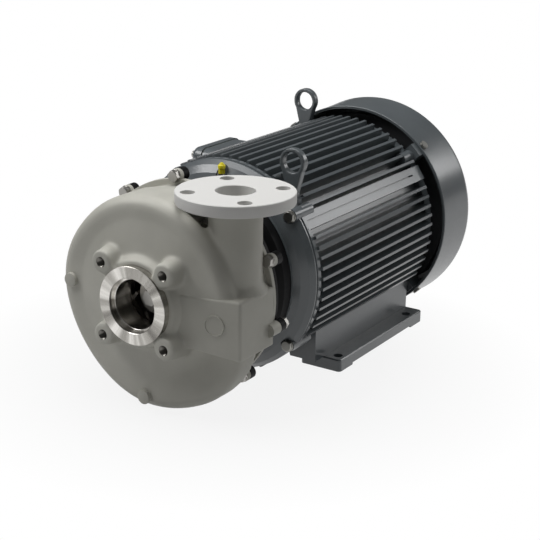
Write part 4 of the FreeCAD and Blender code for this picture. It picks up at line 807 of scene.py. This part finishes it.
def casingBoltPattern():
    places = []
    pitch = 360 / casingBolts["count"]
    for index in range(casingBolts["count"]):
        x, z = onCircle(casingBolts["circle"], casingBolts["first"] + pitch * index)
        if index in casingBolts["fromBack"]:
            places.append((x, z, casingBolts["backSeatY"], -1))
        else:
            places.append((x, z, casingBolts["frontSeatY"], 1))
    return {"size": casingBolts["size"], "places": places}


def shieldBoltPattern():
    places = []
    for angle in shieldBolts["angles"]:
        x, z = onCircle(shieldBolts["circle"], angle)
        places.append((x, z, shieldBolts["seatY"], 1))
    return {"size": shieldBolts["size"], "places": places}


boltSet("casingHexBolts", "casing_bolts", casingBoltPattern(), slotOf["casing_bolts"])
boltSet("shieldHexBolts", "drive_shield_bolts", shieldBoltPattern(), slotOf["drive_shield_bolts"])
print("bolts modelled")


# Forged lifting eyes, with rounded edges
forged = {"voxel": 0.9, "factor": 0.5, "rounds": 12, "smoothAngle": 60}
for node, name in (("front_lifting_eye", "frontEye"), ("rear_lifting_eye", "rearEye")):
    eye = cadCopy(node, name)
    remeshed(eye, forged["voxel"])
    softened(eye, forged["factor"], forged["rounds"])
    finished(eye, "pump_body", slotOf[node], finishes[slotOf[node]], forged["smoothAngle"])
    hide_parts(node)


# Dust cap of the grease nipple
greaseCap = {"centre": (6.0, 190.0), "seatZ": 135.3, "bore": 3.25, "boreTopZ": 148.3, "steps": 40,
             # Radius and height above the seat
             "outside": [(4.2, 0), (4.5, 0.3), (4.5, 4.6), (3.9, 5.1), (3.9, 5.9), (4.6, 6.3),
                         (5.2, 6.9), (5.2, 10.6), (4.7, 11.6), (3.2, 12.5), (2.7, 13.1), (2.5, 14),
                         (1.9, 14.4), (0, 14.5)]}


def dustCap():
    low, bore, boreTop = (greaseCap[key] for key in ("seatZ", "bore", "boreTopZ"))
    outside = [(radius, low + height) for radius, height in greaseCap["outside"]]
    profile = [(bore, low)] + outside + [(0, boreTop), (bore, boreTop)]
    cap = lathe("dustCap", profile, "Z", greaseCap["centre"], greaseCap["steps"])
    finished(cap, "cap", "cap_yellow", finishes["cap_yellow"], 35)
    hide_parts("grease_cap")


dustCap()
print("eyes and dust cap modelled")


# Full rim plate of the fan, so that no light shows between its blades
fanRim = {"inner": 100.0, "outer": 149.5, "frontY": 589.6, "thickness": 3.6, "edge": 1, "steps": 96}


def fanRimPlate():
    low, high = fanRim["frontY"], fanRim["frontY"] + fanRim["thickness"]
    inner, outer, edge = fanRim["inner"], fanRim["outer"], fanRim["edge"]
    profile = [(inner, low), (outer - edge, low), (outer, low + edge),
               (outer, high - edge), (outer - edge, high), (inner, high)]
    plate = lathe("fanRimPlate", profile, steps=fanRim["steps"])
    finished(plate, "rotor", slotOf["cooling_fan"], finishes[slotOf["cooling_fan"]], 30)


fanRimPlate()


# Rolled front edge of the fan cover, open along the flat underside
coverLip = {"radius": 164.3, "y": 562.2, "roll": 1.5, "flatZ": -155.9, "sides": 10, "steps": 128,
            "roomX": 220, "roomY": (500, 600), "roomZ": -220}


def coverEdge():
    profile = []
    for index in range(coverLip["sides"]):
        across, along = onCircle(coverLip["roll"], 360 / coverLip["sides"] * index)
        profile.append((coverLip["radius"] + across, coverLip["y"] + along))
    lip = lathe("coverLip", profile, steps=coverLip["steps"])
    reach, (nearY, farY) = coverLip["roomX"], coverLip["roomY"]
    carve(lip, brick("flatRoom", (-reach, nearY, coverLip["roomZ"]),
                     (reach, farY, coverLip["flatZ"])))
    finished(lip, "pump_body", slotOf["fan_cover"], finishes[slotOf["fan_cover"]], 60)


coverEdge()


# Floor and light
studio = {"floorZ": -0.15876, "floorSize": 12.0, "floorCentreY": 0.25,
          "floorColour": (0.36, 0.36, 0.36, 1), "white": (1, 1, 1, 1), "world": 0.09,
          "fadeNear": 0.2, "fadeFar": 0.45, "whiteNear": 0.88}
# Place, aim, size and power of each softbox
lamps = {
    "overheadBox": ((-0.2, 0.3, 1.9), (0, 0.25, 0), (1.6, 1.6), 29.0),
    "frontBox": ((-1.5, -0.75, 1.7), (0, 0.1, 0), (0.9, 0.9), 23.0),
    "sideBox": ((2.0, 0.2, 1.2), (0, 0.3, 0), (0.8, 1.4), 1.0),
    "rearBox": ((1.05, 1.85, 0.75), (0.1, 0.4, 0.08), (0.5, 0.7), 5.5),
}


def seenDirectly(tree):
    # 1 for camera, glossy and transmission rays
    path = tree.nodes.new("ShaderNodeLightPath")
    total = path.outputs["Is Camera Ray"]
    for name in ("Is Glossy Ray", "Is Transmission Ray"):
        larger = tree.nodes.new("ShaderNodeMath")
        larger.operation = "MAXIMUM"
        tree.links.new(total, larger.inputs[0])
        tree.links.new(path.outputs[name], larger.inputs[1])
        total = larger.outputs["Value"]
    return total


def paleStage():
    material = bpy.data.materials.new("paleFloor")
    material.use_nodes = True
    tree = material.node_tree
    shader = tree.nodes["Principled BSDF"]
    shader.inputs["Base Color"].default_value = studio["floorColour"]
    shader.inputs["Roughness"].default_value = 0.9
    shader.inputs["Specular IOR Level"].default_value = 0.1
    white = tree.nodes.new("ShaderNodeEmission")
    white.inputs["Strength"].default_value = 1.0
    coords = tree.nodes.new("ShaderNodeTexCoord")
    reach = tree.nodes.new("ShaderNodeVectorMath")
    reach.operation = "LENGTH"
    tree.links.new(coords.outputs["Object"], reach.inputs[0])
    fade = tree.nodes.new("ShaderNodeMapRange")
    fade.inputs["From Min"].default_value = studio["fadeNear"]
    fade.inputs["From Max"].default_value = studio["fadeFar"]
    fade.inputs["To Min"].default_value = studio["whiteNear"]
    tree.links.new(reach.outputs["Value"], fade.inputs["Value"])
    share = tree.nodes.new("ShaderNodeMath")
    share.operation = "MULTIPLY"
    tree.links.new(fade.outputs["Result"], share.inputs[0])
    tree.links.new(seenDirectly(tree), share.inputs[1])
    mix = tree.nodes.new("ShaderNodeMixShader")
    tree.links.new(share.outputs["Value"], mix.inputs["Fac"])
    tree.links.new(shader.outputs["BSDF"], mix.inputs[1])
    tree.links.new(white.outputs["Emission"], mix.inputs[2])
    tree.links.new(mix.outputs["Shader"], tree.nodes["Material Output"].inputs["Surface"])
    bpy.ops.object.select_all(action="DESELECT")
    bpy.ops.mesh.primitive_plane_add(size=studio["floorSize"],
                                     location=(0, studio["floorCentreY"], studio["floorZ"]))
    floor = bpy.context.object
    floor.name = "studioFloor"
    floor.data.materials.append(material)


def paleWorld():
    world = bpy.data.worlds.new("studioWorld")
    bpy.context.scene.world = world
    world.use_nodes = True
    tree = world.node_tree
    background = tree.nodes["Background"]
    background.inputs["Color"].default_value = studio["white"]
    background.inputs["Strength"].default_value = studio["world"]
    white = tree.nodes.new("ShaderNodeBackground")
    white.inputs["Color"].default_value = studio["white"]
    white.inputs["Strength"].default_value = 1.0
    path = tree.nodes.new("ShaderNodeLightPath")
    mix = tree.nodes.new("ShaderNodeMixShader")
    tree.links.new(path.outputs["Is Camera Ray"], mix.inputs["Fac"])
    tree.links.new(background.outputs["Background"], mix.inputs[1])
    tree.links.new(white.outputs["Background"], mix.inputs[2])
    tree.links.new(mix.outputs["Shader"], tree.nodes["World Output"].inputs["Surface"])


def softbox(name, place, aim, size, power):
    light = bpy.data.lights.new(name, "AREA")
    light.shape = "RECTANGLE"
    light.size, light.size_y = size
    light.energy = power
    lamp = bpy.data.objects.new(name, light)
    bpy.context.scene.collection.objects.link(lamp)
    lamp.location = place
    lamp.rotation_euler = (Vector(aim) - Vector(place)).to_track_quat("-Z", "Y").to_euler()


paleStage()
paleWorld()
for name, lamp in lamps.items():
    softbox(name, *lamp)
bpy.context.scene.view_settings.view_transform = "Standard"
print("stage and lights ready")
